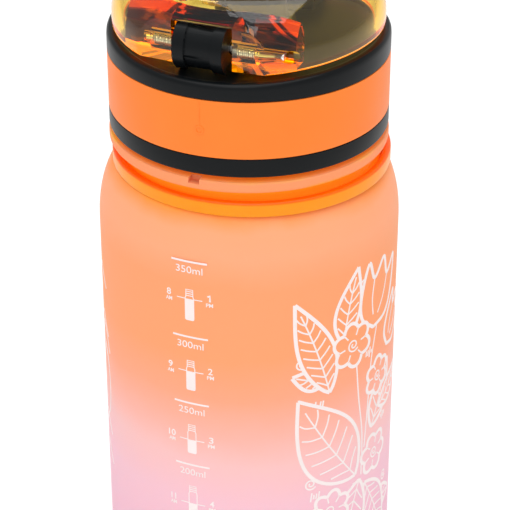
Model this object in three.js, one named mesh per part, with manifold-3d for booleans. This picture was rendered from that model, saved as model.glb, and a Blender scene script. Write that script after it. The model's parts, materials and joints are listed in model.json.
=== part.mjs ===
// A children's time-marked drinking bottle of 350 ml: a frosted bottle, a screw cap with a hard grip
// band, a transparent flip lid on a sprung hinge, a push-button latch and a locking bail.
// Millimetres, +Z up, origin at the middle of the base. The hinge is at +Y and the latch at -Y.
import * as THREE from "three";
import { mergeVertices } from "three/addons/utils/BufferGeometryUtils.js";
import Module from "manifold-3d";

const wasm = await Module();
wasm.setup();

// ---- driving dimensions -------------------------------------------------------------------------
const GAP = 0.3; // clearance between pieces that touch
const ROUND = 32; // facets round the bottle's axis
const BODY_RADIUS = 32.5;
const WALL = 1.8;
const SHOULDER_START = 119; // height where the straight side ends
const SHOULDER_DEPTH = 7.8; // radial half-axis of the shoulder's ellipse
const SHOULDER_RISE = 16; // upright half-axis of the shoulder's ellipse
const COLLAR_NECK_RADIUS = 27.2; // neck behind the carry ring
const NECK_BORE = 23.6;
const THREAD_ROOT = 25.6;
const THREAD_CREST = 26.9;
const BEAD_LOW = 137.95;
const BEAD_HIGH = 140.15;
const BEAD_RADIUS = 29.7;
const LIP_TOP = 156;
const PITCH = 4;
const THREAD_TURNS = 2;
const THREAD_START = 144.4;
const THREAD_FOOT_WIDTH = 1.8;
const THREAD_CREST_WIDTH = 0.7;
const CAP_RADIUS = 29.6;
const CAP_BOTTOM = 141.25;
const CAP_BORE = 27.3;
const BAND_LOW = 145.2;
const BAND_HIGH = 157.8;
const BAND_DEPTH = 0.8;
const DECK_LOW = 158.9;
const DECK_HIGH = 160.9;
const RIM_TOP = 161.3;
const RIM_WAVE = 560; // the rim and the lid's edge rise sideways by x squared over this
const LID_RADIUS = 28.4;
const LID_WALL = 2;
const LID_EDGE = 162.6;
const LID_CROWN_START = 166;
const LID_TOP = 177;
const LID_CROWN_RADIUS = 12;
const HINGE_Y = 22.1;
const HINGE_Z = 166.4;
const KNUCKLE_RADIUS = 5.5;
const KNUCKLE_HALF = 5.3;
const EAR_START = 6.45;
const FACET_Y = 24.8; // flat face across the lid's two ears
const PIN_RADIUS = 1;
const PIN_BORE = PIN_RADIUS + GAP;
const SPRING_POCKET = 2.2;
const POCKET_END = 11.2;
const SPOUT_Y = -2;
const SPOUT_RADIUS = 7;
const SPOUT_BORE = 5;
const SPOUT_TOP = 171.5;
const VENT_Y = 10.5;
const BUTTON_HALF = 6;
const PLATE_LOW = 162.3;
const PLATE_HIGH = 163.9;
const CATCH_HALF = 3.2;
const BAIL_Y = -30.9;
const BAIL_Z = 160;
const BAIL_ROD = 0.8;
const BAIL_HALF = 9.4;
const BAIL_REACH = 9;

// ---- helpers ------------------------------------------------------------------------------------
// A closed geometry as a solid: shared corners are merged and faces that shrank to a line dropped.
function solid(geometry) {
  const bare = geometry.clone();
  bare.deleteAttribute("normal");
  bare.deleteAttribute("uv");
  const merged = mergeVertices(bare, 1e-4);
  const corners = merged.index.array;
  const faces = [];
  for (let i = 0; i < corners.length; i += 3) {
    const [a, b, c] = corners.slice(i, i + 3);
    if (a !== b && b !== c && c !== a) faces.push(a, b, c);
  }
  return new wasm.Manifold(
    new wasm.Mesh({
      numProp: 3,
      vertProperties: merged.attributes.position.array,
      triVerts: new Uint32Array(faces),
    }),
  );
}

// A solid turned about Z. The profile runs counter-clockwise in (radius, height). The corners at the
// height waveAt rise to both sides, as the cap's rim does.
function turned(profile, { facets = ROUND, y = 0, waveAt = null } = {}) {
  const points = profile.map(([radius, height]) => new THREE.Vector2(radius, height));
  const geometry = new THREE.LatheGeometry(points, facets).rotateX(Math.PI / 2);
  const place = geometry.getAttribute("position");
  for (let i = 0; i < place.count; i++) {
    if (waveAt !== null && Math.abs(place.getZ(i) - waveAt) < 0.01) {
      place.setZ(i, waveAt + place.getX(i) ** 2 / RIM_WAVE);
    }
  }
  return solid(geometry.translate(0, y, 0));
}

const ring = (inner, outer, low, high) => [
  [inner, low],
  [outer, low],
  [outer, high],
  [inner, high],
  [inner, low],
];

const disc = (radius, low, high) => [
  [0, low],
  [radius, low],
  [radius, high],
  [0, high],
];

// Points of a quarter ellipse from the side of a turned piece over to its top.
function crown(radius, start, depth, rise, steps, share = 1) {
  const points = [];
  for (let i = 0; i <= steps; i++) {
    const turn = (share * Math.PI * i) / (2 * steps);
    points.push([radius - depth * (1 - Math.cos(turn)), start + rise * Math.sin(turn)]);
  }
  return points;
}

function block(x0, x1, y0, y1, z0, z1) {
  const box = new THREE.BoxGeometry(x1 - x0, y1 - y0, z1 - z0);
  return solid(box.translate((x0 + x1) / 2, (y0 + y1) / 2, (z0 + z1) / 2));
}

function rodX(radius, x0, x1, y, z, sides = 24) {
  const rod = new THREE.CylinderGeometry(radius, radius, x1 - x0, sides).rotateZ(Math.PI / 2);
  return solid(rod.translate((x0 + x1) / 2, y, z));
}

function join(first, ...others) {
  return others.reduce((whole, other) => whole.add(other), first);
}

function cut(whole, ...tools) {
  return tools.reduce((rest, tool) => rest.subtract(tool), whole);
}

// A helical ridge that fades out at both ends. Its foot is sunk a little into the wall it stands on.
function threadRidge(wall, crest, start) {
  const steps = 24;
  const fadeTurns = 0.15;
  const sunk = 0.4;
  const bar = new THREE.BoxGeometry(THREAD_TURNS, 1, 1, THREAD_TURNS * steps, 1, 1);
  const place = bar.getAttribute("position");
  for (let i = 0; i < place.count; i++) {
    const turn = place.getX(i) + THREAD_TURNS / 2;
    const fade = Math.min(1, turn / fadeTurns, (THREAD_TURNS - turn) / fadeTurns);
    const atCrest = place.getY(i) < 0 === crest > wall;
    const foot = wall - Math.sign(crest - wall) * sunk;
    const radius = atCrest ? wall + (crest - wall) * fade : foot;
    const width = atCrest ? THREAD_CREST_WIDTH : THREAD_FOOT_WIDTH;
    const angle = 2 * Math.PI * turn;
    const height = start + PITCH * turn + (Math.sign(place.getZ(i)) * width) / 2;
    place.setXYZ(i, radius * Math.cos(angle), radius * Math.sin(angle), height);
  }
  return solid(bar);
}

function circleShape(radius, sides) {
  const corners = [];
  for (let i = 0; i < sides; i++) {
    const angle = (2 * Math.PI * i) / sides;
    corners.push(new THREE.Vector2(radius * Math.cos(angle), radius * Math.sin(angle)));
  }
  return new THREE.Shape(corners);
}

function wireAlong(path, radius, steps, sides) {
  const options = { steps, extrudePath: path, bevelEnabled: false };
  return new THREE.ExtrudeGeometry(circleShape(radius, sides), options);
}

class Helix extends THREE.Curve {
  constructor(radius, length, turns) {
    super();
    Object.assign(this, { radius, length, turns });
  }
  getPoint(t, target = new THREE.Vector3()) {
    const angle = 2 * Math.PI * this.turns * t;
    const across = this.radius * Math.cos(angle);
    return target.set(this.length * t, across, this.radius * Math.sin(angle));
  }
}

function coil(radius, wire, length, turns) {
  return wireAlong(new Helix(radius, length, turns), wire, turns * 10, 6);
}

// ---- the bottle ---------------------------------------------------------------------------------
const NOTCH_HALF = 1.2;
const NOTCH_DEPTH = 1.15;
const FOOT_INNER = 25.5;
const FOOT_OUTER = 29.5;
const PUNT = 1.6;
const FLOOR = 3.6;
const SHOULDER_SHARE = 0.79; // part of the quarter ellipse that shows before the neck

function bottleBody() {
  const innerDepth = BODY_RADIUS - WALL - NECK_BORE;
  const innerRise = SHOULDER_RISE - WALL;
  const innerShoulder = crown(BODY_RADIUS - WALL, SHOULDER_START, innerDepth, innerRise, 5);
  const shell = turned([
    [0, PUNT],
    [FOOT_INNER - 1, PUNT],
    [FOOT_INNER, 0],
    [FOOT_OUTER, 0],
    [BODY_RADIUS - 0.8, 1],
    [BODY_RADIUS, 3.2],
    ...crown(BODY_RADIUS, SHOULDER_START, SHOULDER_DEPTH, SHOULDER_RISE, 6, SHOULDER_SHARE),
    [COLLAR_NECK_RADIUS, BEAD_LOW - 0.8],
    [BEAD_RADIUS - 0.3, BEAD_LOW],
    [BEAD_RADIUS, BEAD_LOW + 0.6],
    [BEAD_RADIUS, BEAD_HIGH - 0.3],
    [BEAD_RADIUS - 0.4, BEAD_HIGH],
    [THREAD_ROOT, BEAD_HIGH],
    [THREAD_ROOT, LIP_TOP - 0.5],
    [THREAD_ROOT - 0.4, LIP_TOP],
    [NECK_BORE, LIP_TOP],
    ...innerShoulder.reverse(),
    [BODY_RADIUS - WALL, FLOOR + 3],
    [BODY_RADIUS - WALL - 2.5, FLOOR],
    [0, FLOOR],
  ]);
  const thread = threadRidge(THREAD_ROOT, THREAD_CREST, THREAD_START);
  const notchLow = BEAD_HIGH - NOTCH_DEPTH;
  const notch = block(-NOTCH_HALF, NOTCH_HALF, BEAD_RADIUS - 2, BEAD_RADIUS + 2, notchLow, BEAD_HIGH + 1);
  return cut(join(shell, thread), notch);
}

// A loose ring between the bead and the shoulder, with a slotted lug that a strap can pass through.
const RING_BORE = 28.2;
const RING_RADIUS = 29.75;
const RING_LOW = 132.45;
const RING_HIGH = 135.55;
const RING_SLOPE = 1.2;
const LUG_HALF = 7;
const LUG_SLOT_HALF = 5;

function carryRing() {
  const hoop = turned([
    [RING_BORE + 1, RING_LOW],
    [RING_RADIUS, RING_LOW],
    [RING_RADIUS, RING_HIGH],
    [RING_BORE, RING_HIGH],
    [RING_BORE, RING_LOW + RING_SLOPE],
    [RING_BORE + 1, RING_LOW],
  ]);
  const front = -BODY_RADIUS + 0.1;
  const lug = block(-LUG_HALF, LUG_HALF, front, -RING_BORE - 0.8, RING_LOW + 0.2, RING_HIGH - 0.2);
  const slot = block(-LUG_SLOT_HALF, LUG_SLOT_HALF, front + 1, front + 2.4, RING_LOW - 1, RING_HIGH + 1);
  return cut(join(hoop, lug), slot);
}

const STRAINER_RADIUS = NECK_BORE - 0.4;
const STRAINER_FLOOR = 136;
const STRAINER_FLANGE_LOW = LIP_TOP + GAP;
const SLOT_COUNT = 10;

function strainer() {
  const flangeHigh = STRAINER_FLANGE_LOW + 0.7;
  const basket = turned(
    [
      [0, STRAINER_FLOOR],
      [STRAINER_RADIUS, STRAINER_FLOOR],
      [STRAINER_RADIUS, STRAINER_FLANGE_LOW],
      [THREAD_ROOT - GAP, STRAINER_FLANGE_LOW],
      [THREAD_ROOT - GAP, flangeHigh],
      [STRAINER_RADIUS - 1, flangeHigh],
      [STRAINER_RADIUS - 1, STRAINER_FLOOR + 1],
      [0, STRAINER_FLOOR + 1],
    ],
    { facets: ROUND },
  );
  const openings = [];
  for (let i = 0; i < SLOT_COUNT; i++) {
    const angle = (2 * Math.PI * (i + 0.5)) / SLOT_COUNT;
    const slot = new THREE.BoxGeometry(4, 3, 10).translate(STRAINER_RADIUS, 0, STRAINER_FLOOR + 9.5);
    openings.push(solid(slot.rotateZ(angle)));
    const hole = new THREE.BoxGeometry(6, 2.4, 4).translate(14, 0, STRAINER_FLOOR);
    openings.push(solid(hole.rotateZ(angle)));
  }
  return cut(basket, ...openings);
}

const NECK_SEAL_LOW = STRAINER_FLANGE_LOW + 0.7 + GAP;

function neckSeal() {
  return turned(ring(NECK_BORE - 0.4, CAP_BORE - 0.4, NECK_SEAL_LOW, DECK_LOW - GAP));
}

// ---- the cap ------------------------------------------------------------------------------------
function capCollar() {
  const sleeveRadius = CAP_RADIUS - BAND_DEPTH - GAP;
  const sleeve = turned([
    [CAP_BORE, CAP_BOTTOM],
    [CAP_RADIUS - 0.4, CAP_BOTTOM],
    [CAP_RADIUS, CAP_BOTTOM + 0.4],
    [CAP_RADIUS, BAND_LOW - GAP / 2],
    [sleeveRadius, BAND_LOW - GAP / 2],
    [sleeveRadius, DECK_LOW - GAP],
    [CAP_BORE, DECK_LOW - GAP],
    [CAP_BORE, CAP_BOTTOM],
  ]);
  const thread = threadRidge(CAP_BORE, THREAD_ROOT + 0.4, THREAD_START + PITCH / 2 - PITCH);
  return cut(join(sleeve, thread), turned(disc(CAP_RADIUS, CAP_BOTTOM - 5, CAP_BOTTOM)));
}

function gripBand() {
  return turned(ring(CAP_RADIUS - BAND_DEPTH, CAP_RADIUS, BAND_LOW + GAP / 2, BAND_HIGH - GAP / 2));
}

const HOUSING_HALF = 7.8;
const HOUSING_FRONT = -24.4;
const HOUSING_BACK = -16.5;
const HOUSING_TOP = 165.2;
const CAVITY_FLOOR = 161;
const CAVITY_TOP = PLATE_HIGH + GAP;
const CAVITY_BACK = HOUSING_BACK - 1.2;
const BAIL_LUG_IN = 11;
const BAIL_LUG_OUT = 14.2;
const BAIL_LUG_RADIUS = 1.55;
const VENT_HOLE = 1.5;

function bailLug(side) {
  const [near, far] = side > 0 ? [BAIL_LUG_IN, BAIL_LUG_OUT] : [-BAIL_LUG_OUT, -BAIL_LUG_IN];
  const eye = rodX(BAIL_LUG_RADIUS, near, far, BAIL_Y, BAIL_Z, 16);
  const root = block(near, far, BAIL_Y, -25.5, DECK_LOW, BAIL_Z + BAIL_LUG_RADIUS - 0.3);
  const bore = rodX(BAIL_ROD + GAP, near - 0.3 * (1 - side), far - 0.3 * (1 + side), BAIL_Y, BAIL_Z, 12);
  return { body: join(eye, root), bore };
}

function capTop() {
  const deck = turned(
    [
      [0, DECK_LOW],
      [CAP_RADIUS - BAND_DEPTH, DECK_LOW],
      [CAP_RADIUS - BAND_DEPTH, BAND_HIGH + GAP / 2],
      [CAP_RADIUS, BAND_HIGH + GAP / 2],
      [CAP_RADIUS, RIM_TOP - 1.7],
      [CAP_RADIUS - 0.25, RIM_TOP - 0.7],
      [CAP_RADIUS - 0.86, RIM_TOP],
      [CAP_RADIUS - 2, RIM_TOP],
      [CAP_RADIUS - 2.4, DECK_HIGH],
      [0, DECK_HIGH],
    ],
    { waveAt: RIM_TOP },
  );
  const collarStart = 2.85;
  const knuckle = join(
    rodX(KNUCKLE_RADIUS - 0.5, -KNUCKLE_HALF, KNUCKLE_HALF, HINGE_Y, HINGE_Z),
    rodX(KNUCKLE_RADIUS, -KNUCKLE_HALF, -collarStart, HINGE_Y, HINGE_Z),
    rodX(KNUCKLE_RADIUS, collarStart, KNUCKLE_HALF, HINGE_Y, HINGE_Z),
    block(-KNUCKLE_HALF, KNUCKLE_HALF, HINGE_Y - 2.8, HINGE_Y + 2.9, DECK_LOW + 0.5, HINGE_Z - 3), // post
  );
  const half = HOUSING_HALF;
  const housing = block(-half, half, HOUSING_FRONT, HOUSING_BACK, DECK_HIGH - 0.5, HOUSING_TOP);
  const gate = BUTTON_HALF + GAP;
  const cavity = block(-gate, gate, HOUSING_FRONT - 1, CAVITY_BACK, CAVITY_FLOOR, CAVITY_TOP);
  const lugs = [bailLug(-1), bailLug(1)];
  return cut(
    join(deck, knuckle, housing, ...lugs.map((lug) => lug.body)),
    cavity,
    ...lugs.map((lug) => lug.bore),
    rodX(PIN_BORE, -KNUCKLE_HALF - 1, KNUCKLE_HALF + 1, HINGE_Y, HINGE_Z, 16),
    turned(disc(SPOUT_RADIUS + GAP, DECK_LOW - 1, DECK_HIGH + 1), { facets: 24, y: SPOUT_Y }),
    turned(disc(VENT_HOLE, DECK_LOW - 1, DECK_HIGH + 1), { facets: 12, y: VENT_Y }),
  );
}

const SPOUT_SEAL_LOW = DECK_HIGH + GAP;
const SPOUT_SEAL_HIGH = SPOUT_SEAL_LOW + 0.8;
const FLANGE_LOW = SPOUT_SEAL_HIGH + GAP;
const FLANGE_RADIUS = 9;

function spout() {
  return turned(
    [
      [SPOUT_BORE, DECK_LOW - 1],
      [SPOUT_RADIUS, DECK_LOW - 1],
      [SPOUT_RADIUS, FLANGE_LOW],
      [FLANGE_RADIUS, FLANGE_LOW],
      [FLANGE_RADIUS, FLANGE_LOW + 1],
      [SPOUT_RADIUS + 0.4, FLANGE_LOW + 1.6],
      [SPOUT_RADIUS, SPOUT_TOP - 0.8],
      [SPOUT_RADIUS - 0.7, SPOUT_TOP],
      [SPOUT_BORE + 0.6, SPOUT_TOP],
      [SPOUT_BORE, SPOUT_TOP - 0.7],
      [SPOUT_BORE, DECK_LOW - 1],
    ],
    { facets: 24, y: SPOUT_Y },
  );
}

function spoutSeal() {
  const washer = ring(SPOUT_RADIUS + GAP, FLANGE_RADIUS, SPOUT_SEAL_LOW, SPOUT_SEAL_HIGH);
  return turned(washer, { facets: 24, y: SPOUT_Y });
}

function ventValve() {
  const stem = VENT_HOLE - GAP;
  return turned(
    [
      [0, DECK_LOW - 1.5],
      [1, DECK_LOW - 1.3],
      [1.9, DECK_LOW - GAP],
      [stem, DECK_LOW - GAP],
      [stem, DECK_HIGH + GAP],
      [3, DECK_HIGH + GAP],
      [2.6, DECK_HIGH + 1],
      [0, DECK_HIGH + 1.4],
    ],
    { facets: 12, y: VENT_Y },
  );
}

// ---- the lid and its hinge ----------------------------------------------------------------------
const HINGE_MASS_RADIUS = 7.2;
const HINGE_MASS_HALF = 17.6;
const REAR_WALL_Y = 21.9; // inner face of the wall behind the facet
const BEVEL_START_Z = 171.5; // the facet leans forward from here, so that the open lid clears the cap
const BEVEL_ANGLE = THREE.MathUtils.degToRad(30);
const BUTTON_DOOR_HALF = BUTTON_HALF + 0.5;
const BUTTON_DOOR_TOP = 164.5;
const PLUG_RADIUS = 8.4;
const PIN_OUTER_END = -16.6;
const PIN_INNER_END = 12.4;
const NOSE_HALF = 5;
const NOSE_FRONT = -30.4;
const NOSE_LOW = 166.3;

function flipLid() {
  const outerRise = LID_TOP - LID_CROWN_START;
  const outer = turned(
    [
      [0, LID_EDGE],
      [LID_RADIUS, LID_EDGE],
      ...crown(LID_RADIUS, LID_CROWN_START, LID_CROWN_RADIUS, outerRise, 6),
      [0, LID_TOP],
    ],
    { waveAt: LID_EDGE },
  );
  const innerRadius = LID_RADIUS - LID_WALL;
  const inner = turned([
    [0, LID_EDGE - 2],
    [innerRadius, LID_EDGE - 2],
    ...crown(innerRadius, LID_CROWN_START, LID_CROWN_RADIUS - LID_WALL, outerRise - LID_WALL, 5),
    [0, LID_TOP - LID_WALL],
  ]);
  const cup = ring(PLUG_RADIUS + 0.4, PLUG_RADIUS + 1.6, SPOUT_TOP + 0.9, LID_TOP - 1);
  const plugCup = turned(cup, { facets: 24, y: SPOUT_Y });
  const hingeMass = join(
    rodX(HINGE_MASS_RADIUS, -HINGE_MASS_HALF, HINGE_MASS_HALF, HINGE_Y, HINGE_Z, 28),
    block(-HINGE_MASS_HALF, HINGE_MASS_HALF, REAR_WALL_Y, FACET_Y + 1, LID_EDGE - 1, LID_TOP),
  ).intersect(outer);
  const bevel = new THREE.BoxGeometry(60, 20, 40).translate(0, 10, 0).rotateX(BEVEL_ANGLE);
  const button = block(-BUTTON_DOOR_HALF, BUTTON_DOOR_HALF, -31, -24, LID_EDGE - 1, BUTTON_DOOR_TOP);
  const nose = block(-NOSE_HALF, NOSE_HALF, NOSE_FRONT, -27, NOSE_LOW, NOSE_LOW + 1.4);
  const closed = cut(
    join(outer.subtract(inner), plugCup, hingeMass, nose),
    block(-40, 40, FACET_Y, 40, 100, 200),
    solid(bevel.translate(0, FACET_Y, BEVEL_START_Z)),
    rodX(KNUCKLE_RADIUS + GAP, -EAR_START, EAR_START, HINGE_Y, HINGE_Z, 28),
    block(-EAR_START, EAR_START, HINGE_Y - 2, 40, 100, HINGE_Z),
    rodX(PIN_BORE, -LID_RADIUS, PIN_INNER_END + GAP, HINGE_Y, HINGE_Z, 16),
    rodX(SPRING_POCKET, -POCKET_END, -EAR_START + 1, HINGE_Y, HINGE_Z, 16),
    rodX(SPRING_POCKET, EAR_START - 1, POCKET_END, HINGE_Y, HINGE_Z, 16),
    button,
  );
  const tab = block(-CATCH_HALF, CATCH_HALF, -26.9, -25.6, PLATE_LOW - 1.1, BUTTON_DOOR_TOP + 1);
  const barb = block(-CATCH_HALF, CATCH_HALF, -26, -24.8, PLATE_LOW - 1.1, PLATE_LOW - GAP);
  return join(closed, tab, barb);
}

function lidPlug() {
  return turned(
    [
      [0, SPOUT_TOP - 0.8],
      [SPOUT_BORE - 0.7, SPOUT_TOP - 0.8],
      [SPOUT_BORE - 0.4, SPOUT_TOP + GAP],
      [PLUG_RADIUS, SPOUT_TOP + GAP],
      [PLUG_RADIUS, LID_TOP - LID_WALL - 0.4],
      [0, LID_TOP - LID_WALL - 0.4],
    ],
    { facets: 24, y: SPOUT_Y },
  );
}

function hingePin() {
  return rodX(PIN_RADIUS, PIN_OUTER_END, PIN_INNER_END, HINGE_Y, HINGE_Z, 16);
}

// One torsion spring sits round the pin in each ear.
function hingeSpring(side) {
  const length = POCKET_END - EAR_START - 2 * GAP;
  const middle = (side * (POCKET_END + EAR_START)) / 2;
  return solid(coil(1.65, 0.22, length - 0.4, 4).translate(middle - length / 2 + 0.2, HINGE_Y, HINGE_Z));
}

// ---- the latch ----------------------------------------------------------------------------------
const PLATE_BACK = -22;
const HEAD_FRONT = -31;
const WINDOW_FRONT = -28.7;
const WINDOW_BACK = -25.3;
const LATCH_SPRING_Z = 162.6;

function latchButton() {
  const plate = block(-BUTTON_HALF, BUTTON_HALF, HEAD_FRONT + 1, PLATE_BACK, PLATE_LOW, PLATE_HIGH);
  const headBack = HEAD_FRONT + 1.9;
  const head = block(-BUTTON_HALF, BUTTON_HALF, HEAD_FRONT, headBack, RIM_TOP + 0.4, PLATE_HIGH + 0.3);
  const windowHalf = CATCH_HALF + 0.4;
  const hole = block(-windowHalf, windowHalf, WINDOW_FRONT, WINDOW_BACK, PLATE_LOW - 1, PLATE_HIGH + 1);
  return cut(join(plate, head), hole);
}

function latchSpring() {
  const length = CAVITY_BACK - PLATE_BACK - 2 * GAP;
  const wire = coil(0.95, 0.22, length - 0.4, 3).rotateZ(Math.PI / 2);
  return solid(wire.translate(0, PLATE_BACK + GAP + 0.2, LATCH_SPRING_Z));
}

// A rod bent into a U that hangs from two lugs and swings up over the nose on the lid.
function lockBail() {
  const at = (x, z) => new THREE.Vector3(x, BAIL_Y, z);
  const bend = 1.2;
  const bottom = BAIL_Z - BAIL_REACH;
  const corners = [
    [-BAIL_LUG_OUT + 0.9, BAIL_Z],
    [-BAIL_HALF, BAIL_Z],
    [-BAIL_HALF, bottom],
    [BAIL_HALF, bottom],
    [BAIL_HALF, BAIL_Z],
    [BAIL_LUG_OUT - 0.9, BAIL_Z],
  ].map(([x, z]) => at(x, z));
  const path = new THREE.CurvePath();
  let from = corners[0];
  for (let i = 1; i < corners.length - 1; i++) {
    const before = corners[i].clone().sub(corners[i - 1]).setLength(bend);
    const after = corners[i + 1].clone().sub(corners[i]).setLength(bend);
    const enter = corners[i].clone().sub(before);
    const leave = corners[i].clone().add(after);
    path.add(new THREE.LineCurve3(from, enter));
    path.add(new THREE.QuadraticBezierCurve3(enter, corners[i], leave));
    from = leave;
  }
  path.add(new THREE.LineCurve3(from, corners.at(-1)));
  return solid(wireAlong(path, BAIL_ROD, 48, 8));
}

// ---- finishes and the assembly ------------------------------------------------------------------
const finish = (color, roughness, metalness = 0, opacity = 1) =>
  new THREE.MeshStandardMaterial({ color, roughness, metalness, opacity, transparent: opacity < 1 });

const frostedOrange = finish(0xfea272, 0.55);
const clearOrange = finish(0xfd7d10, 0.25, 0, 0.9);
const blackPlastic = finish(0x1b1c1d, 0.35);
const bandOrange = finish(0xfe8635, 0.45);
const amberClear = finish(0xf59a1c, 0.05, 0, 0.45);
const silicone = finish(0xe9e6df, 0.6);
const smokePlastic = finish(0x3a3c3e, 0.4);
const steel = finish(0xb9bcc0, 0.25, 1);

const pieces = [
  ["bottle_body", bottleBody(), frostedOrange],
  ["carry_ring", carryRing(), clearOrange],
  ["strainer", strainer(), smokePlastic],
  ["neck_seal", neckSeal(), silicone],
  ["cap_collar", capCollar(), blackPlastic],
  ["grip_band", gripBand(), bandOrange],
  ["cap_top", capTop(), blackPlastic],
  ["spout", spout(), blackPlastic],
  ["spout_seal", spoutSeal(), silicone],
  ["vent_valve", ventValve(), silicone],
  ["flip_lid", flipLid(), amberClear],
  ["lid_plug", lidPlug(), silicone],
  ["hinge_pin", hingePin(), steel],
  ["hinge_spring_left", hingeSpring(1), steel],
  ["hinge_spring_right", hingeSpring(-1), steel],
  ["latch_button", latchButton(), blackPlastic],
  ["latch_spring", latchSpring(), steel],
  ["lock_bail", lockBail(), blackPlastic],
];

const bottle = new THREE.Group();
for (const [name, body, material] of pieces) {
  const { numProp, vertProperties, triVerts } = body.getMesh();
  const geometry = new THREE.BufferGeometry();
  geometry.setAttribute("position", new THREE.BufferAttribute(vertProperties, numProp));
  geometry.setIndex(new THREE.BufferAttribute(triVerts, 1));
  geometry.computeVertexNormals();
  const mesh = new THREE.Mesh(geometry, material);
  mesh.name = name;
  bottle.add(mesh);
}

export default bottle;
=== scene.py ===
# %% [markdown]
# # A flip-top drinking bottle
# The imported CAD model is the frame: it says where every piece is and what moves. This lesson puts a
# finished surface round it, piece by piece. Most of the bottle is round, so one Geometry Nodes lathe
# makes nearly every shell. The hinge, latch and housing are cut with booleans and then bevelled.

# %% Load the frame
import json
import math

import bpy
import numpy as np
from mathutils import Matrix, Vector


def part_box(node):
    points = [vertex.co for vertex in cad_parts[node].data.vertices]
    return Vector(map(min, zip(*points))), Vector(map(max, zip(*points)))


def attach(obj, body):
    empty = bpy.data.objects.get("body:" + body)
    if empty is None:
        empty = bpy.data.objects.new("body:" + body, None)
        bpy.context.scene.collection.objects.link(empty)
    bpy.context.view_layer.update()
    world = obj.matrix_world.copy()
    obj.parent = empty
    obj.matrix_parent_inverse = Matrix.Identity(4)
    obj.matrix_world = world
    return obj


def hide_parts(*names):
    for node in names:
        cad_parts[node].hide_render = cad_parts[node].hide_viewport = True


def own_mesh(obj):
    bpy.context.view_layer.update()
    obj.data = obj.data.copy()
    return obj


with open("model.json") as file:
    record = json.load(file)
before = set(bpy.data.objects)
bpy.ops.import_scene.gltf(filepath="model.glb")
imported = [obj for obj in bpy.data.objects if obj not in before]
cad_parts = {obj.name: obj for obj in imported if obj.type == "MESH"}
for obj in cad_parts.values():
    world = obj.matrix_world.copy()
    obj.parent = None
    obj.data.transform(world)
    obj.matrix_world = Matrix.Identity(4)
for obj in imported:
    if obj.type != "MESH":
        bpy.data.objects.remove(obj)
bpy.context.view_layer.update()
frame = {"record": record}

MM = 0.001


def span(node):
    """The lowest and highest corners of a CAD node, in millimetres."""
    low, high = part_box(node)
    return np.array(low) / MM, np.array(high) / MM


joints = {joint["name"]: joint for joint in frame["record"]["behaviour"]["joints"]}
HINGE_Y, HINGE_Z = (joints["lid_hinge"]["pos_m"][i] / MM for i in (1, 2))
BAIL_Y, BAIL_Z = (joints["bail_swing"]["pos_m"][i] / MM for i in (1, 2))
BODY_RADIUS = span("bottle_body")[1][0]
LIP_TOP = span("bottle_body")[1][2]
CAP_BOTTOM = span("cap_collar")[0][2]
CAP_RADIUS = span("cap_collar")[1][0]
LID_RADIUS = span("flip_lid")[1][0]
LID_TOP = span("flip_lid")[1][2]
print("body radius %.2f, lip %.2f, lid top %.2f, hinge at y %.2f z %.2f" % (
    BODY_RADIUS, LIP_TOP, LID_TOP, HINGE_Y, HINGE_Z))

# %% [markdown]
# ## Camera, floor and light
# The bottle is seen from behind and a little above, with a long lens that keeps its sides nearly
# parallel. A white world and a wide lamp overhead give even studio light on a white
# table; the smaller lamp over the camera leaves the soft glow on the shoulder, which a painted
# highlight in the coat's colour ramp helps along.

# %% Camera and stage
CAMERA_AZIMUTH = 202.1
CAMERA_DISTANCE = 386.4
CAMERA_HEIGHT = 324.3
CAMERA_TILT = 29.34
CAMERA_YAW = 0.186
LENS = 141.7

bpy.context.scene.view_settings.view_transform = "Standard"


def direction(azimuth):
    """The level unit vector that a view at this azimuth is taken from."""
    turn = math.radians(azimuth)
    return Vector((math.sin(turn), -math.cos(turn), 0))


def add_camera():
    lens = bpy.data.cameras.new("camera")
    lens.lens = LENS
    lens.sensor_width = 36
    lens.clip_start = 0.01
    camera = bpy.data.objects.new("camera", lens)
    bpy.context.collection.objects.link(camera)
    camera.location = (direction(CAMERA_AZIMUTH) * CAMERA_DISTANCE + Vector((0, 0, CAMERA_HEIGHT))) * MM
    camera.rotation_euler = (
        math.radians(90 - CAMERA_TILT), 0, math.radians(CAMERA_AZIMUTH - CAMERA_YAW))
    bpy.context.scene.camera = camera


def add_lamp(name, azimuth, distance, height, size, power):
    """A square soft lamp that looks at the bottle's upper half."""
    lamp = bpy.data.lights.new(name, "AREA")
    lamp.size = size
    lamp.energy = power
    holder = bpy.data.objects.new(name, lamp)
    bpy.context.collection.objects.link(holder)
    holder.location = direction(azimuth) * distance + Vector((0, 0, height))
    aim = Vector((0, 0, 0.12)) - holder.location
    holder.rotation_euler = aim.to_track_quat("-Z", "Y").to_euler()


add_camera()
add_lamp("overhead", CAMERA_AZIMUTH, 0.15, 1.9, 1.6, 23)
add_lamp("over_camera", CAMERA_AZIMUTH - 8, 0.9, 1.0, 0.5, 2.2)

world = bpy.data.worlds.new("white_room")
world.use_nodes = True
world.node_tree.nodes["Background"].inputs["Color"].default_value = (1, 1, 1, 1)
world.node_tree.nodes["Background"].inputs["Strength"].default_value = 0.66
bpy.context.scene.world = world

# %% [markdown]
# ## Small helpers for finishes
# Every finish is a node tree on Object coordinates. One helper starts a material and another gives it
# a fine bump from noise, which is what the skin of a moulding or a sprayed coat looks like close up.

# %% Finish helpers
def linear(red, green, blue):
    """A colour given as 0 to 255 on screen, as the linear values that shaders use."""
    def channel(value):
        value = value / 255
        return value / 12.92 if value <= 0.04045 else ((value + 0.055) / 1.055) ** 2.4
    return (channel(red), channel(green), channel(blue), 1)


def new_finish(name, roughness, **sockets):
    material = bpy.data.materials.new(name)
    material.use_nodes = True
    shader = material.node_tree.nodes["Principled BSDF"]
    shader.inputs["Roughness"].default_value = roughness
    for socket, value in sockets.items():
        shader.inputs[socket.replace("_", " ")].default_value = value
    return material, shader


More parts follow.
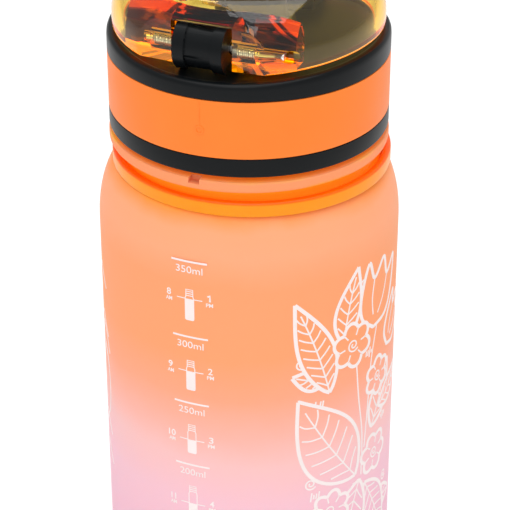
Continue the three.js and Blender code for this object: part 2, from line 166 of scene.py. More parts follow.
def add_node(material, kind, links=None, **settings):
    """A node with its settings and incoming links; a key of links is a socket's name or number."""
    node = material.node_tree.nodes.new(kind)
    for key, value in settings.items():
        setattr(node, key, value)
    for socket, source in (links or {}).items():
        if isinstance(source, bpy.types.NodeSocket):
            material.node_tree.links.new(source, node.inputs[socket])
        else:
            node.inputs[socket].default_value = source
    return node


def object_place(material):
    return add_node(material, "ShaderNodeTexCoord").outputs["Object"]


def grain(material, grain_mm, detail=3):
    """Noise whose lumps are about grain_mm wide."""
    place = object_place(material)
    return add_node(material, "ShaderNodeTexNoise",
                    {"Vector": place, "Scale": 1 / (grain_mm * MM), "Detail": detail}).outputs["Fac"]


def add_bump(material, shader, height, depth_mm, strength=1.0):
    bump = add_node(material, "ShaderNodeBump",
                    {"Height": height, "Distance": depth_mm * MM, "Strength": strength})
    material.node_tree.links.new(bump.outputs["Normal"], shader.inputs["Normal"])


def vary(material, shader, socket, source, low, high):
    """Lets a grey pattern move one of the shader's numbers between low and high."""
    spread = add_node(material, "ShaderNodeMapRange", {"Value": source, "To Min": low, "To Max": high})
    material.node_tree.links.new(spread.outputs["Result"], shader.inputs[socket])


def mix_colours(material, share, first, second):
    mix = add_node(material, "ShaderNodeMix", {0: share, 6: first, 7: second}, data_type="RGBA")
    return mix.outputs[2]


def floor_finish():
    material, shader = new_finish("plain_floor", 0.9, Specular_IOR_Level=0.0)
    shades = mix_colours(material, grain(material, 40), (0.95, 0.95, 0.95, 1), (0.97, 0.97, 0.97, 1))
    material.node_tree.links.new(shades, shader.inputs["Base Color"])
    return material


def add_floor():
    mesh = bpy.data.meshes.new("floor")
    half = 3
    mesh.from_pydata([(-half, -half, 0), (half, -half, 0), (half, half, 0), (-half, half, 0)], [],
        [(0, 1, 2, 3)])
    floor = bpy.data.objects.new("floor", mesh)
    bpy.context.collection.objects.link(floor)
    mesh.materials.append(floor_finish())


add_floor()

# %% [markdown]
# ## The finishes of the bottle
# - The wall is a clear hard plastic under a sprayed coat that fades from orange to pink, so its colour
#   is a ramp over height with a faint mottle, and its skin has a fine matt grain. The ramp also holds
#   painted light: a paler band for the highlight on the shoulder and a brighter orange in the shaded
#   neck, and the bare neck has a painted glow, an emission.
# - The carry ring is translucent orange, its top painted a deeper orange as painted shade. The lid is
#   transparent amber: the amber is in the depth of the plastic, so thick edges look deep orange while
#   thin walls stay smoky; the glow on the lid's lowest edge is painted light, an emission.
# - The black parts, the band and the silicone are moulded, each with its own roughness and grain.

# %% Finishes
def sprayed_finish(name, glow):
    """The coat; glow is painted light, an emission that stands in for the light coming through the
    bare, translucent wall of the neck.
    """
    material, shader = new_finish(name, 0.5, Specular_IOR_Level=0.08, Emission_Color=(1.0, 0.16, 0.0, 1),
                                  Emission_Strength=glow, Subsurface_Weight=0.08, Subsurface_Scale=0.002)
    height = add_node(material, "ShaderNodeSeparateXYZ", {0: object_place(material)}).outputs["Z"]
    cloud = grain(material, 14)
    wander = add_node(material, "ShaderNodeMapRange", {"Value": cloud, "To Min": -0.002, "To Max": 0.002})
    lifted = add_node(material, "ShaderNodeMath", {0: height, 1: wander.outputs["Result"]})
    share = add_node(material, "ShaderNodeMapRange",
                     {"Value": lifted.outputs[0], "From Min": 0.0, "From Max": 0.16})
    ramp = add_node(material, "ShaderNodeValToRGB", {"Fac": share.outputs["Result"]})
    # Painted light in the ramp: the paler peach at 124 to 129 mm paints the soft highlight on the shoulder.
    # The neck under the ring (133.4 to 137.4 mm) and over the bead (from 141 mm) gets a saturated orange, the
    # bare plastic's tint, made brighter than the coat to lift these shaded gaps.
    stops = [
        (0, (232, 176, 206)), (45, (240, 188, 206)), (62, (244, 194, 206)), (73, (248, 194, 192)),
        (80, (252, 182, 168)), (90, (254, 168, 134)), (100, (254, 163, 114)), (117, (254, 163, 114)),
        (124, (254, 170, 128)), (129, (254, 168, 124)), (132, (255, 152, 80)), (133.4, (255, 160, 40)),
        (137.4, (255, 160, 40)), (138.2, (255, 154, 104)), (140.4, (255, 154, 104)), (141, (255, 180, 60)),
        (156, (255, 180, 60)),
    ]
    ramp.color_ramp.elements[0].position = 0
    ramp.color_ramp.elements[0].color = linear(*stops[0][1])
    ramp.color_ramp.elements[1].position = stops[-1][0] / 160
    ramp.color_ramp.elements[1].color = linear(*stops[-1][1])
    for level, colour in stops[1:-1]:
        stop = ramp.color_ramp.elements.new(level / 160)
        stop.color = linear(*colour)
    material.node_tree.links.new(ramp.outputs["Color"], shader.inputs["Base Color"])
    skin = grain(material, 0.22, 2)
    add_bump(material, shader, skin, 0.015, 0.5)
    vary(material, shader, "Roughness", grain(material, 3), 0.46, 0.56)
    return material


def moulded_finish(name, colour, roughness, grain_mm=0.3, depth_mm=0.008, **sockets):
    """Opaque injection-moulded plastic: a faint flow mottle, a fine skin and slightly uneven gloss."""
    material, shader = new_finish(name, roughness, **sockets)
    base = linear(*colour)
    paler = tuple(min(1, part * 1.12 + 0.001) for part in base[:3]) + (1,)
    shades = mix_colours(material, grain(material, 9), base, paler)
    material.node_tree.links.new(shades, shader.inputs["Base Color"])
    add_bump(material, shader, grain(material, grain_mm, 2), depth_mm, 0.6)
    vary(material, shader, "Roughness", grain(material, 5), roughness * 0.88, roughness * 1.12)
    return material


def amber_finish(name, glow):
    """Clear amber plastic. The colour lies in the depth, so it deepens where light runs far; glow is
    painted light, an emission that stands in for the light the wall pipes to an edge and lets out there."""
    material, shader = new_finish(name, 0.02, Transmission_Weight=1.0, IOR=1.49,
                                  Emission_Color=(1.0, 0.235, 0.0, 1), Emission_Strength=glow)
    shader.inputs["Base Color"].default_value = (1, 1, 1, 1)
    add_bump(material, shader, grain(material, 6, 1), 0.01, 0.25)
    depth = add_node(material, "ShaderNodeVolumeAbsorption",
                     {"Color": (1.0, 0.84, 0.0, 1), "Density": 560})
    output = material.node_tree.nodes["Material Output"]
    material.node_tree.links.new(depth.outputs["Volume"], output.inputs["Volume"])
    return material


def ring_finish():
    """Translucent orange: the lit side is the ring's own pale orange; the top is painted a deep orange,
    partly the depth one looks into there and partly painted shade from the bead and cap above.
    """
    material, shader = new_finish("ring_orange", 0.3, Specular_IOR_Level=0.25,
                                  Subsurface_Weight=0.35, Subsurface_Scale=0.003)
    height = add_node(material, "ShaderNodeSeparateXYZ", {0: object_place(material)}).outputs["Z"]
    share = add_node(material, "ShaderNodeMapRange",
                     {"Value": height, "From Min": 0.1349, "From Max": 0.1353})
    # Painted shade: above 135.1 mm the top face gets a deeper orange than the side, for the shadow of the
    # bead and cap.
    top = mix_colours(material, share.outputs["Result"], linear(255, 150, 0), linear(255, 92, 0))
    worn = mix_colours(material, grain(material, 6), linear(255, 150, 0), linear(255, 158, 20))
    shades = add_node(material, "ShaderNodeMix", {0: 0.85, 6: worn, 7: top}, data_type="RGBA").outputs[2]
    material.node_tree.links.new(shades, shader.inputs["Base Color"])
    add_bump(material, shader, grain(material, 0.5, 2), 0.006, 0.5)
    return material


def steel_finish():
    """Drawn stainless wire: fine rings of unevenness along the wire."""
    material, shader = new_finish("bright_steel", 0.26, Metallic=1.0)
    shades = mix_colours(material, grain(material, 0.8), linear(250, 248, 244), linear(236, 233, 228))
    material.node_tree.links.new(shades, shader.inputs["Base Color"])
    add_bump(material, shader, grain(material, 0.25), 0.004, 0.4)
    return material


sprayed = sprayed_finish("sprayed_coat", 0.0)
# The neck's finish glows with an emission of 0.42: painted light in the shaded neck.
bare_neck_painted_glow = sprayed_finish("bare_neck_painted_glow", 0.42)
black = moulded_finish("black_plastic", (9, 12, 14), 0.36, Specular_IOR_Level=0.15)
smoke = moulded_finish("smoke_plastic", (44, 46, 50), 0.42, Specular_IOR_Level=0.2)
band_orange = moulded_finish("band_orange", (255, 126, 40), 0.44, 0.4, 0.01, Specular_IOR_Level=0.25)
silicone = moulded_finish("white_silicone", (226, 222, 214), 0.5, Subsurface_Weight=0.2,
    Subsurface_Scale=0.002)
ring_orange = ring_finish()
ink = moulded_finish("white_ink", (238, 226, 224), 0.5, Specular_IOR_Level=0.2)
amber = amber_finish("amber_plastic", 0.0)
# The edge finish glows with an emission of 0.75: painted light standing in for light piped to the lid's edge.
amber_edge_painted_glow = amber_finish("amber_edge_painted_glow", 0.75)
steel = steel_finish()
print("finishes:", ", ".join(m.name for m in (sprayed, black, smoke, band_orange, silicone, ring_orange,
    ink, amber, steel)))

# %% [markdown]
# ## The lathe
# Bottle, ring, collar, band, spout and seals are all solids of revolution, so their rule is one
# outline swept round the axis. The tree takes the outline as a wire (x is the radius, minus y the
# height), sweeps it round a circle and closes the seam and the poles. Turning each by hand in mesh
# code would give the same faces, but the outline stays editable this way and every piece shares it.

# %% The lathe tree
GUIDE_RADIUS = 0.01  # the circle that the outline is swept round; any size works
FILLET_STEPS = 5


def new_tree(name, inputs):
    """A geometry tree with named inputs; returns the tree and its input and output nodes."""
    tree = bpy.data.node_groups.new(name, "GeometryNodeTree")
    tree.interface.new_socket("Geometry", in_out="INPUT", socket_type="NodeSocketGeometry")
    for label, kind in inputs:
        tree.interface.new_socket(label, in_out="INPUT", socket_type="NodeSocket" + kind)
    tree.interface.new_socket("Geometry", in_out="OUTPUT", socket_type="NodeSocketGeometry")
    return tree, tree.nodes.new("NodeGroupInput"), tree.nodes.new("NodeGroupOutput")


def place_node(tree, kind, links=None, **settings):
    node = tree.nodes.new(kind)
    for key, value in settings.items():
        setattr(node, key, value)
    for socket, source in (links or {}).items():
        if isinstance(source, bpy.types.NodeSocket):
            tree.links.new(source, node.inputs[socket])
        else:
            node.inputs[socket].default_value = source
    return node


def end_tree(tree, start, finish, geometry):
    """Realize Instances and Set Material close every tree, so that plain faces leave it."""
    real = place_node(tree, "GeometryNodeRealizeInstances", {"Geometry": geometry})
    painted = place_node(tree, "GeometryNodeSetMaterial",
                         {"Geometry": real.outputs[0], "Material": start.outputs["Finish"]})
    tree.links.new(painted.outputs[0], finish.inputs[0])


def lathe_tree():
    tree, start, finish = new_tree("Lathe", [("Facets", "Int"), ("Finish", "Material")])
    wire = place_node(tree, "GeometryNodeMeshToCurve", {0: start.outputs["Geometry"]})
    shifted = place_node(tree, "GeometryNodeTransform",
                         {"Geometry": wire.outputs[0], "Translation": (-GUIDE_RADIUS, 0, 0)})
    circle = place_node(tree, "GeometryNodeCurvePrimitiveCircle",
                        {"Radius": GUIDE_RADIUS, "Resolution": start.outputs["Facets"]})
    swept = place_node(tree, "GeometryNodeCurveToMesh",
                       {"Curve": circle.outputs[0], "Profile Curve": shifted.outputs[0]})
    closed = place_node(tree, "GeometryNodeMergeByDistance", {"Geometry": swept.outputs[0], "Distance": 1e-6})
    end_tree(tree, start, finish, closed.outputs[0])
    return tree


LATHE = lathe_tree()


def run_tree(name, mesh, tree, **inputs):
    """Runs a tree on a mesh and returns a plain object without the modifier."""
    piece = bpy.data.objects.new(name, mesh)
    bpy.context.collection.objects.link(piece)
    modifier = piece.modifiers.new(tree.name, "NODES")
    modifier.node_group = tree
    for item in tree.interface.items_tree:
        if item.in_out == "INPUT" and item.name in inputs:
            modifier[item.identifier] = inputs[item.name]
    return bake(piece)


def bake(piece):
    """Turns modifiers into plain faces."""
    bpy.context.view_layer.update()
    graph = bpy.context.evaluated_depsgraph_get()
    mesh = bpy.data.meshes.new_from_object(piece.evaluated_get(graph))
    piece.modifiers.clear()
    piece.data = mesh
    mesh.name = piece.name
    return piece


def corner_array(mesh):
    places = np.empty(len(mesh.vertices) * 3)
    mesh.vertices.foreach_get("co", places)
    return places.reshape(-1, 3)


def volume_mm3(mesh):
    """The signed volume, which is negative when the faces look inwards."""
    mesh.calc_loop_triangles()
    corners = corner_array(mesh) / MM
    faces = np.array([triangle.vertices[:] for triangle in mesh.loop_triangles])
    a, b, c = (corners[faces[:, i]] for i in range(3))
    return float(np.einsum("ij,ij->i", a, np.cross(b, c)).sum() / 6)


def rounded(outline, closed):
    """The outline's points; a corner given with a third number is rounded by that much."""
    corners = [np.array(corner[:2], float) for corner in outline]
    points = []
    for i, corner in enumerate(outline):
        fillet = corner[2] if len(corner) > 2 else 0
        if not fillet or (not closed and i in (0, len(outline) - 1)):
            points.append(corners[i])
            continue
        back = corners[i - 1] - corners[i]
        ahead = corners[(i + 1) % len(corners)] - corners[i]
        start = corners[i] + back * min(fillet / np.linalg.norm(back), 0.5)
        end = corners[i] + ahead * min(fillet / np.linalg.norm(ahead), 0.5)
        for t in np.linspace(0, 1, FILLET_STEPS):
            points.append((1 - t) ** 2 * start + 2 * t * (1 - t) * corners[i] + t * t * end)
    return points


def turned(name, outline, finish, closed=False, facets=128, y=0):
    """A turned piece from an outline of (radius, height, fillet) in millimetres."""
    points = rounded(outline, closed)
    mesh = bpy.data.meshes.new(name)
    edges = [(i, i + 1) for i in range(len(points) - 1)]
    if closed:
        edges.append((len(points) - 1, 0))
    mesh.from_pydata([(r * MM, -z * MM, 0) for r, z in points], edges, [])
    piece = run_tree(name, mesh, LATHE, Facets=facets, Finish=finish)
    if volume_mm3(piece.data) < 0:
        piece.data.flip_normals()
    piece.data.transform(Matrix.Translation((0, y * MM, 0)))
    return piece


def ring_outline(inner, outer, low, high, fillet=0.15):
    return [(inner, low, fillet), (outer, low, fillet), (outer, high, fillet), (inner, high, fillet)]


# %% [markdown]
# ## Finishing a piece
# A moulded edge is never sharp. Cut pieces get a small bevel on every edge over about thirty degrees,
# and then all faces shade smooth, with only true corners kept crisp. Last, the piece is tied to its
# CAD body and stands for its CAD node.

# %% Cutting, bevelling and tying down
def slab(x0, x1, y0, y1, z0, z1):
    corners = [(x * MM, y * MM, z * MM) for z in (z0, z1) for y in (y0, y1) for x in (x0, x1)]
    faces = [(0, 2, 3, 1), (4, 5, 7, 6), (0, 1, 5, 4), (2, 6, 7, 3), (0, 4, 6, 2), (1, 3, 7, 5)]
    mesh = bpy.data.meshes.new("slab")
    mesh.from_pydata(corners, [], faces)
    piece = bpy.data.objects.new("slab", mesh)
    bpy.context.collection.objects.link(piece)
    return piece


def rod_x(radius, x0, x1, y, z, finish=None, facets=64, fillet=0):
    """A round bar along X."""
    bar = turned("rod", [(0, x0), (radius, x0, fillet), (radius, x1, fillet), (0, x1)], finish or black,
        facets=facets)
    turn = Matrix.Rotation(math.pi / 2, 4, "Y")
    bar.data.transform(Matrix.Translation((0, y * MM, z * MM)) @ turn)
    return bar


def combine(piece, operation, *others):
    """Joins, cuts or intersects a piece with others, which are used up."""
    for other in others:
        change = piece.modifiers.new(operation, "BOOLEAN")
        change.operation = operation
        change.solver = "EXACT"
        change.object = other
    bake(piece)
    for other in others:
        bpy.data.objects.remove(other)
    return piece


def bevelled(piece, width, segments=2, angle=32):
    edge = piece.modifiers.new("edge", "BEVEL")
    edge.width = width * MM
    edge.segments = segments
    edge.limit_method = "ANGLE"
    edge.angle_limit = math.radians(angle)
    edge.miter_outer = "MITER_ARC"
    return bake(piece)


def tie(piece, name, finish, body, slot, *nodes, sharp=34):
    """Names a finished piece, gives it one finish, ties it to its CAD body and hides its CAD nodes."""
    piece.name = name
    piece.data.materials.clear()
    piece.data.materials.append(finish)
    piece.data.shade_smooth()
    piece.data.set_sharp_from_angle(angle=math.radians(sharp))
    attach(piece, body)
    if nodes:
        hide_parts(*nodes)
    print("%-20s %6d faces, %8.1f mm3" % (name, len(piece.data.polygons), volume_mm3(piece.data)))
    return piece


def joined(first, *others):
    """Puts separate shells into one object."""
    meshes = [first.data] + [other.data for other in others]
    corners, faces, start = [], [], 0
    for mesh in meshes:
        corners += [tuple(v.co) for v in mesh.vertices]
        faces += [tuple(start + i for i in face.vertices) for face in mesh.polygons]
        start += len(mesh.vertices)
    whole = bpy.data.meshes.new(first.name)
    whole.from_pydata(corners, [], faces)
    first.data = whole
    for other in others:
        bpy.data.objects.remove(other)
    return first

# %% [markdown]
# ## Threads and springs
# A screw thread and a coil spring are both a section that follows a helix. A spiral curve is the path;
# the thread's section is a trapezium that fades out at both ends, the wire's is a small circle.

# %% Helix tree
THREAD_PITCH = 4.0
THREAD_TURNS = 2.0
THREAD_START = 144.4


def helix_tree():
    tree, start, finish = new_tree("Helix", [
        ("Radius", "Float"), ("Height", "Float"), ("Turns", "Float"), ("Steps", "Int"),
        ("Section", "Geometry"), ("Foot", "Float"), ("Crest", "Float"), ("Depth", "Float"),
        ("Wire", "Float"), ("Is thread", "Bool"), ("Finish", "Material")])
    spiral = place_node(tree, "GeometryNodeCurveSpiral", {
        "Resolution": start.outputs["Steps"], "Rotations": start.outputs["Turns"],
        "Start Radius": start.outputs["Radius"], "End Radius": start.outputs["Radius"],
        "Height": start.outputs["Height"], "Reverse": True})
    trapezium = place_node(tree, "GeometryNodeCurvePrimitiveQuadrilateral", {
        "Bottom Width": start.outputs["Foot"], "Top Width": start.outputs["Crest"],
        "Height": start.outputs["Depth"], "Offset": 0.0}, mode="TRAPEZOID")
    turned_section = place_node(tree, "GeometryNodeTransform", {
        "Geometry": trapezium.outputs[0], "Rotation": (0, 0, -math.pi / 2)})
    circle = place_node(tree, "GeometryNodeCurvePrimitiveCircle",
                        {"Resolution": 10, "Radius": start.outputs["Wire"]})
    section = place_node(tree, "GeometryNodeSwitch", {
        "Switch": start.outputs["Is thread"], "False": circle.outputs[0],
        "True": turned_section.outputs[0]}, input_type="GEOMETRY")
    where = place_node(tree, "GeometryNodeSplineParameter").outputs["Factor"]
    rise = place_node(tree, "ShaderNodeMath", {0: where, 1: 14.0}, operation="MULTIPLY")
    rest = place_node(tree, "ShaderNodeMath", {0: 1.0, 1: where}, operation="SUBTRACT")
    fall = place_node(tree, "ShaderNodeMath", {0: rest.outputs[0], 1: 14.0}, operation="MULTIPLY")
    low = place_node(tree, "ShaderNodeMath", {0: rise.outputs[0], 1: fall.outputs[0]}, operation="MINIMUM")
    fade = place_node(tree, "ShaderNodeMath", {0: low.outputs[0], 1: 1.0}, operation="MINIMUM")
    some = place_node(tree, "ShaderNodeMath", {0: fade.outputs[0], 1: 0.05}, operation="MAXIMUM")
    scale = place_node(tree, "GeometryNodeSwitch", {
        "Switch": start.outputs["Is thread"], "False": 1.0, "True": some.outputs[0]}, input_type="FLOAT")
    swept = place_node(tree, "GeometryNodeCurveToMesh", {
        "Curve": spiral.outputs[0], "Profile Curve": section.outputs[0],
        "Scale": scale.outputs[0], "Fill Caps": True})
    end_tree(tree, start, finish, swept.outputs[0])
    return tree


HELIX = helix_tree()


def helix(name, finish, **sizes):
    values = {"Steps": 24, "Wire": 0.0, "Foot": 0.0, "Crest": 0.0, "Depth": 0.0, "Is thread": False}
    values.update(sizes)
    for label in ("Radius", "Height", "Wire", "Foot", "Crest", "Depth"):
        values[label] = float(values[label]) * MM
    piece = run_tree(name, bpy.data.meshes.new(name), HELIX, Finish=finish, **values)
    if volume_mm3(piece.data) < 0:
        piece.data.flip_normals()
    return piece


def thread(radius, depth, start):
    """A thread ridge centred on the given radius."""
    ridge = helix("thread", sprayed, Radius=radius, Height=THREAD_PITCH * THREAD_TURNS, Turns=THREAD_TURNS,
                  Steps=64, Foot=1.8, Crest=0.7, Depth=depth, **{"Is thread": True})
    ridge.data.transform(Matrix.Translation((0, 0, start * MM)))
    return ridge


def wire_coil(name, radius, wire, length, turns):
    return helix(name, steel, Radius=radius, Wire=wire, Height=length, Turns=float(turns), Steps=20)


# %% [markdown]
# ## The bottle
# The real body is blown in one piece with its neck, bead and thread. Its outline is a straight side, a
# quarter-elliptic shoulder and the neck; the inside follows it one wall behind.

# %% Bottle body
WALL = 1.8
SHOULDER_START = 119
SHOULDER_DEPTH = 7.8
SHOULDER_RISE = 16
NECK_BORE = 23.6
NECK_RADIUS = 27.2
THREAD_ROOT = 25.6
BEAD_LOW, BEAD_HIGH, BEAD_RADIUS = 137.95, 140.15, 29.7


def quarter(radius, start, depth, rise, steps=14, share=1.0):
    """Points of a quarter ellipse from a side over towards the top."""
    turns = np.linspace(0, share * math.pi / 2, steps)
    return [(radius - depth * (1 - math.cos(t)), start + rise * math.sin(t)) for t in turns]


def bottle_body():
    inner = quarter(BODY_RADIUS - WALL, SHOULDER_START, BODY_RADIUS - WALL - NECK_BORE, SHOULDER_RISE - WALL)
    outline = [
        (0, 1.6), (24.5, 1.6, 0.8), (25.5, 0, 0.4), (29.2, 0, 1.2), (31.6, 0.9, 1.6), (BODY_RADIUS, 4.2, 2.4),
        *quarter(BODY_RADIUS, SHOULDER_START, SHOULDER_DEPTH, SHOULDER_RISE, share=0.79),
        (NECK_RADIUS, BEAD_LOW - 0.9, 0.5), (BEAD_RADIUS, BEAD_LOW, 0.5), (BEAD_RADIUS, BEAD_HIGH, 0.45),
        (THREAD_ROOT, BEAD_HIGH, 0.4), (THREAD_ROOT, LIP_TOP, 0.4), (NECK_BORE, LIP_TOP, 0.4),
        *reversed(inner),
        (BODY_RADIUS - WALL, 3.6, 3.2), (0, 3.6),
    ]
    body = turned("bottle", outline, sprayed, facets=160)
    notch = slab(-1.2, 1.2, BEAD_RADIUS - 1.9, BEAD_RADIUS + 2, BEAD_HIGH - 1.15, BEAD_HIGH + 1)
    combine(body, "DIFFERENCE", notch)
    ridge = thread(THREAD_ROOT + 0.45, 1.7, THREAD_START)
    return joined(body, ridge)


def bare_the_neck(piece):
    """Gives the uncoated neck, under and over the bead, its own finish, which carries a painted glow."""
    piece.data.materials.append(bare_neck_painted_glow)
    for face in piece.data.polygons:
        x, y, z = (part / MM for part in face.center)
        under_bead = 133 < z < BEAD_LOW and math.hypot(x, y) < NECK_RADIUS + 0.8
        if under_bead or BEAD_HIGH - 0.05 < z < LIP_TOP - 0.5 and math.hypot(x, y) < BEAD_RADIUS - 0.7:
            face.material_index = 1


bare_the_neck(tie(bottle_body(), "bottle", sprayed, "bottle", "frosted_body", "bottle_body"))

# %% [markdown]
# ## The carry ring
# A loose hoop trapped between the bead and the shoulder. It hangs a little off the middle, as a loose
# ring does, and carries a slotted lug for a strap at the front.

# %% Carry ring
RING_LOW, RING_HIGH = span("carry_ring")[0][2], span("carry_ring")[1][2]
RING_RADIUS = span("carry_ring")[1][0]
RING_BORE = 28.2
RING_SLOPE = 1.2
RING_DRIFT = 0.55


def carry_ring():
    hoop = turned("ring", [
        (RING_BORE + 1, RING_LOW, 0.1), (RING_RADIUS, RING_LOW, 0.3), (RING_RADIUS, RING_HIGH, 0.6),
        (RING_BORE, RING_HIGH, 0.35), (RING_BORE, RING_LOW + RING_SLOPE, 0.3)],
        ring_orange, closed=True, facets=160)
    front = span("carry_ring")[0][1]
    lug = slab(-7, 7, front, -RING_BORE - 0.8, RING_LOW + 0.2, RING_HIGH - 0.2)
    slot = slab(-5, 5, front + 1, front + 2.4, RING_LOW - 1, RING_HIGH + 1)
    combine(hoop, "UNION", lug)
    combine(hoop, "DIFFERENCE", slot)
    side = direction(CAMERA_AZIMUTH + 90) * RING_DRIFT * MM
    hoop.data.transform(Matrix.Translation(side))
    return hoop


tie(carry_ring(), "ring", ring_orange, "ring", "clear_orange", "carry_ring")

# %% [markdown]
# ## Strainer and seals
# The basket that keeps fruit and ice back is a turned cup. Its slots repeat round the axis, so a tree
# sets one cutter on each point of a circle and subtracts them all.

# %% Strainer
SLOTS = 20


def perforate_tree():
    tree, start, finish = new_tree("Perforate", [
        ("Count", "Int"), ("Ring radius", "Float"), ("Height", "Float"), ("Cutter", "Vector"),
        ("Finish", "Material")])
    circle = place_node(tree, "GeometryNodeMeshCircle", {
        "Vertices": start.outputs["Count"], "Radius": start.outputs["Ring radius"]})
    lift = place_node(tree, "ShaderNodeCombineXYZ", {"Z": start.outputs["Height"]})
    raised = place_node(tree, "GeometryNodeTransform", {
        "Geometry": circle.outputs[0], "Translation": lift.outputs[0]})
    cutter = place_node(tree, "GeometryNodeMeshCube", {"Size": start.outputs["Cutter"]})
    index = place_node(tree, "GeometryNodeInputIndex")
    whole_turn = place_node(tree, "ShaderNodeMath", {0: index.outputs[0], 1: 2 * math.pi},
        operation="MULTIPLY")
    angle = place_node(tree, "ShaderNodeMath", {0: whole_turn.outputs[0], 1: start.outputs["Count"]},
        operation="DIVIDE")
    spin = place_node(tree, "ShaderNodeCombineXYZ", {"Z": angle.outputs[0]})
    cutters = place_node(tree, "GeometryNodeInstanceOnPoints", {
        "Points": raised.outputs[0], "Instance": cutter.outputs[0], "Rotation": spin.outputs[0]})
    real = place_node(tree, "GeometryNodeRealizeInstances", {0: cutters.outputs[0]})
    holed = place_node(tree, "GeometryNodeMeshBoolean", {
        0: start.outputs["Geometry"], 1: real.outputs[0]}, operation="DIFFERENCE", solver="EXACT")
    end_tree(tree, start, finish, holed.outputs[0])
    return tree


PERFORATE = perforate_tree()


def perforated(piece, count, ring, height, cutter):
    """Cuts a ring of box-shaped holes through a piece."""
    mesh = piece.data
    name = piece.name
    bpy.data.objects.remove(piece)
    return run_tree(name, mesh, PERFORATE, Count=count, Finish=smoke, Height=height * MM,
                    **{"Ring radius": ring * MM, "Cutter": [side * MM for side in cutter]})


def strainer():
    low, high = (corner[2] for corner in span("strainer"))
    radius = NECK_BORE - 0.4
    flange = span("strainer")[1][0]
    basket = turned("strainer", [
        (0, low), (radius, low, 0.8), (radius, high - 0.7, 0.1), (flange, high - 0.7, 0.15),
        (flange, high, 0.15), (radius - 1, high, 0.3), (radius - 1, low + 1, 0.6), (0, low + 1)], smoke)
    basket = perforated(basket, SLOTS, radius - 0.5, low + 9.5, (4, 2.0, 11))
    basket = perforated(basket, SLOTS, 17, low + 0.5, (6, 1.6, 4))
    return perforated(basket, SLOTS // 2, 8.5, low + 0.5, (6, 1.6, 4))


tie(strainer(), "strainer", smoke, "bottle", "smoke_plastic", "strainer")

# %% [markdown]
# ## The cap
# A threaded collar carries the lower black ring. The orange band slips over it, and the cap's top,
# with the rim, deck and hinge knuckle, snaps on and holds the band. The band keeps the fine seam of
# its mould and the round mark where the plastic was let in.

# %% Collar, band and seals
BAND_LOW, BAND_HIGH = span("grip_band")[0][2], span("grip_band")[1][2]
SLEEVE = CAP_RADIUS - 1.1
CAP_BORE = 27.3
DECK_LOW, DECK_HIGH = 158.9, 160.9


def cap_collar():
    sleeve = turned("collar", [
        (CAP_BORE, CAP_BOTTOM, 0.2), (CAP_RADIUS, CAP_BOTTOM, 0.55), (CAP_RADIUS, BAND_LOW - 0.05, 0.18),
        (SLEEVE, BAND_LOW - 0.05, 0.1), (SLEEVE, DECK_LOW - 0.3, 0.2), (CAP_BORE, DECK_LOW - 0.3, 0.2)],
        black, closed=True, facets=160)
    ridge = thread(CAP_BORE - 0.35, 1.7, THREAD_START - THREAD_PITCH / 2)
    return joined(sleeve, ridge)


def on_wall(radius, angle, height):
    """A place on the cap's side, by polar angle in degrees."""
    turn = math.radians(angle)
    return Vector((radius * math.cos(turn), radius * math.sin(turn), height)) * MM


def grip_band():
    high = BAND_HIGH + 0.1
    band = turned("band", ring_outline(CAP_RADIUS - 0.8, CAP_RADIUS, BAND_LOW - 0.1 + 0.15, high, 0.16),
                  band_orange, closed=True, facets=160)
    seam_angle = 92.6
    seam = slab(-0.1, 0.1, -0.09, 0.06, -3, 3)
    facing = Matrix.Rotation(math.radians(seam_angle - 90), 4, "Z")
    seam.data.transform(Matrix.Translation(on_wall(CAP_RADIUS, seam_angle, high - 3.4)) @ facing)
    gate = turned("gate", [(0.62, -0.05, 0.05), (1.0, -0.05, 0.05), (1.0, 0.13, 0.05), (0.62, 0.13, 0.05)],
                  band_orange, closed=True, facets=32)
    stand = Matrix.Rotation(-math.pi / 2, 4, "X")
    gate.data.transform(Matrix.Translation(on_wall(CAP_RADIUS - 0.02, seam_angle, 151.2)) @ facing @ stand)
    return joined(band, seam, gate)


tie(cap_collar(), "collar", black, "cap", "black_plastic", "cap_collar")
tie(grip_band(), "band", band_orange, "cap", "band_orange", "grip_band")
seal_low, seal_high = span("neck_seal")
tie(turned("seal", ring_outline(23.2, seal_high[0], seal_low[2], seal_high[2], 0.4), silicone, closed=True),
    "seal", silicone, "seal", "silicone", "neck_seal")

# %% [markdown]
# ## The cap's top
# The rim rises to both sides in a shallow wave, which the lid's edge follows. The turned disc gets the
# wave by moving its rim points, then the knuckle, latch housing and bail lugs are joined on and the
# bores cut.

# %% Cap top
RIM_TOP = 161.3
RIM_WAVE = 560
KNUCKLE_RADIUS = 5.5
KNUCKLE_HALF = 5.3
COLLAR_START = 2.85
PIN_BORE = 1.3
SPOUT_Y = -2
SPOUT_RADIUS = 7
VENT_Y = 10.5


def raise_sides(piece, full, fading):
    """Lifts points by x squared over RIM_WAVE, in full at one height and not at all at another."""
    places = corner_array(piece.data)
    share = np.clip((places[:, 2] / MM - fading) / (full - fading), 0, 1)
    places[:, 2] += share * (places[:, 0] / MM) ** 2 / RIM_WAVE * MM
    piece.data.vertices.foreach_set("co", places.ravel())
    piece.data.update()


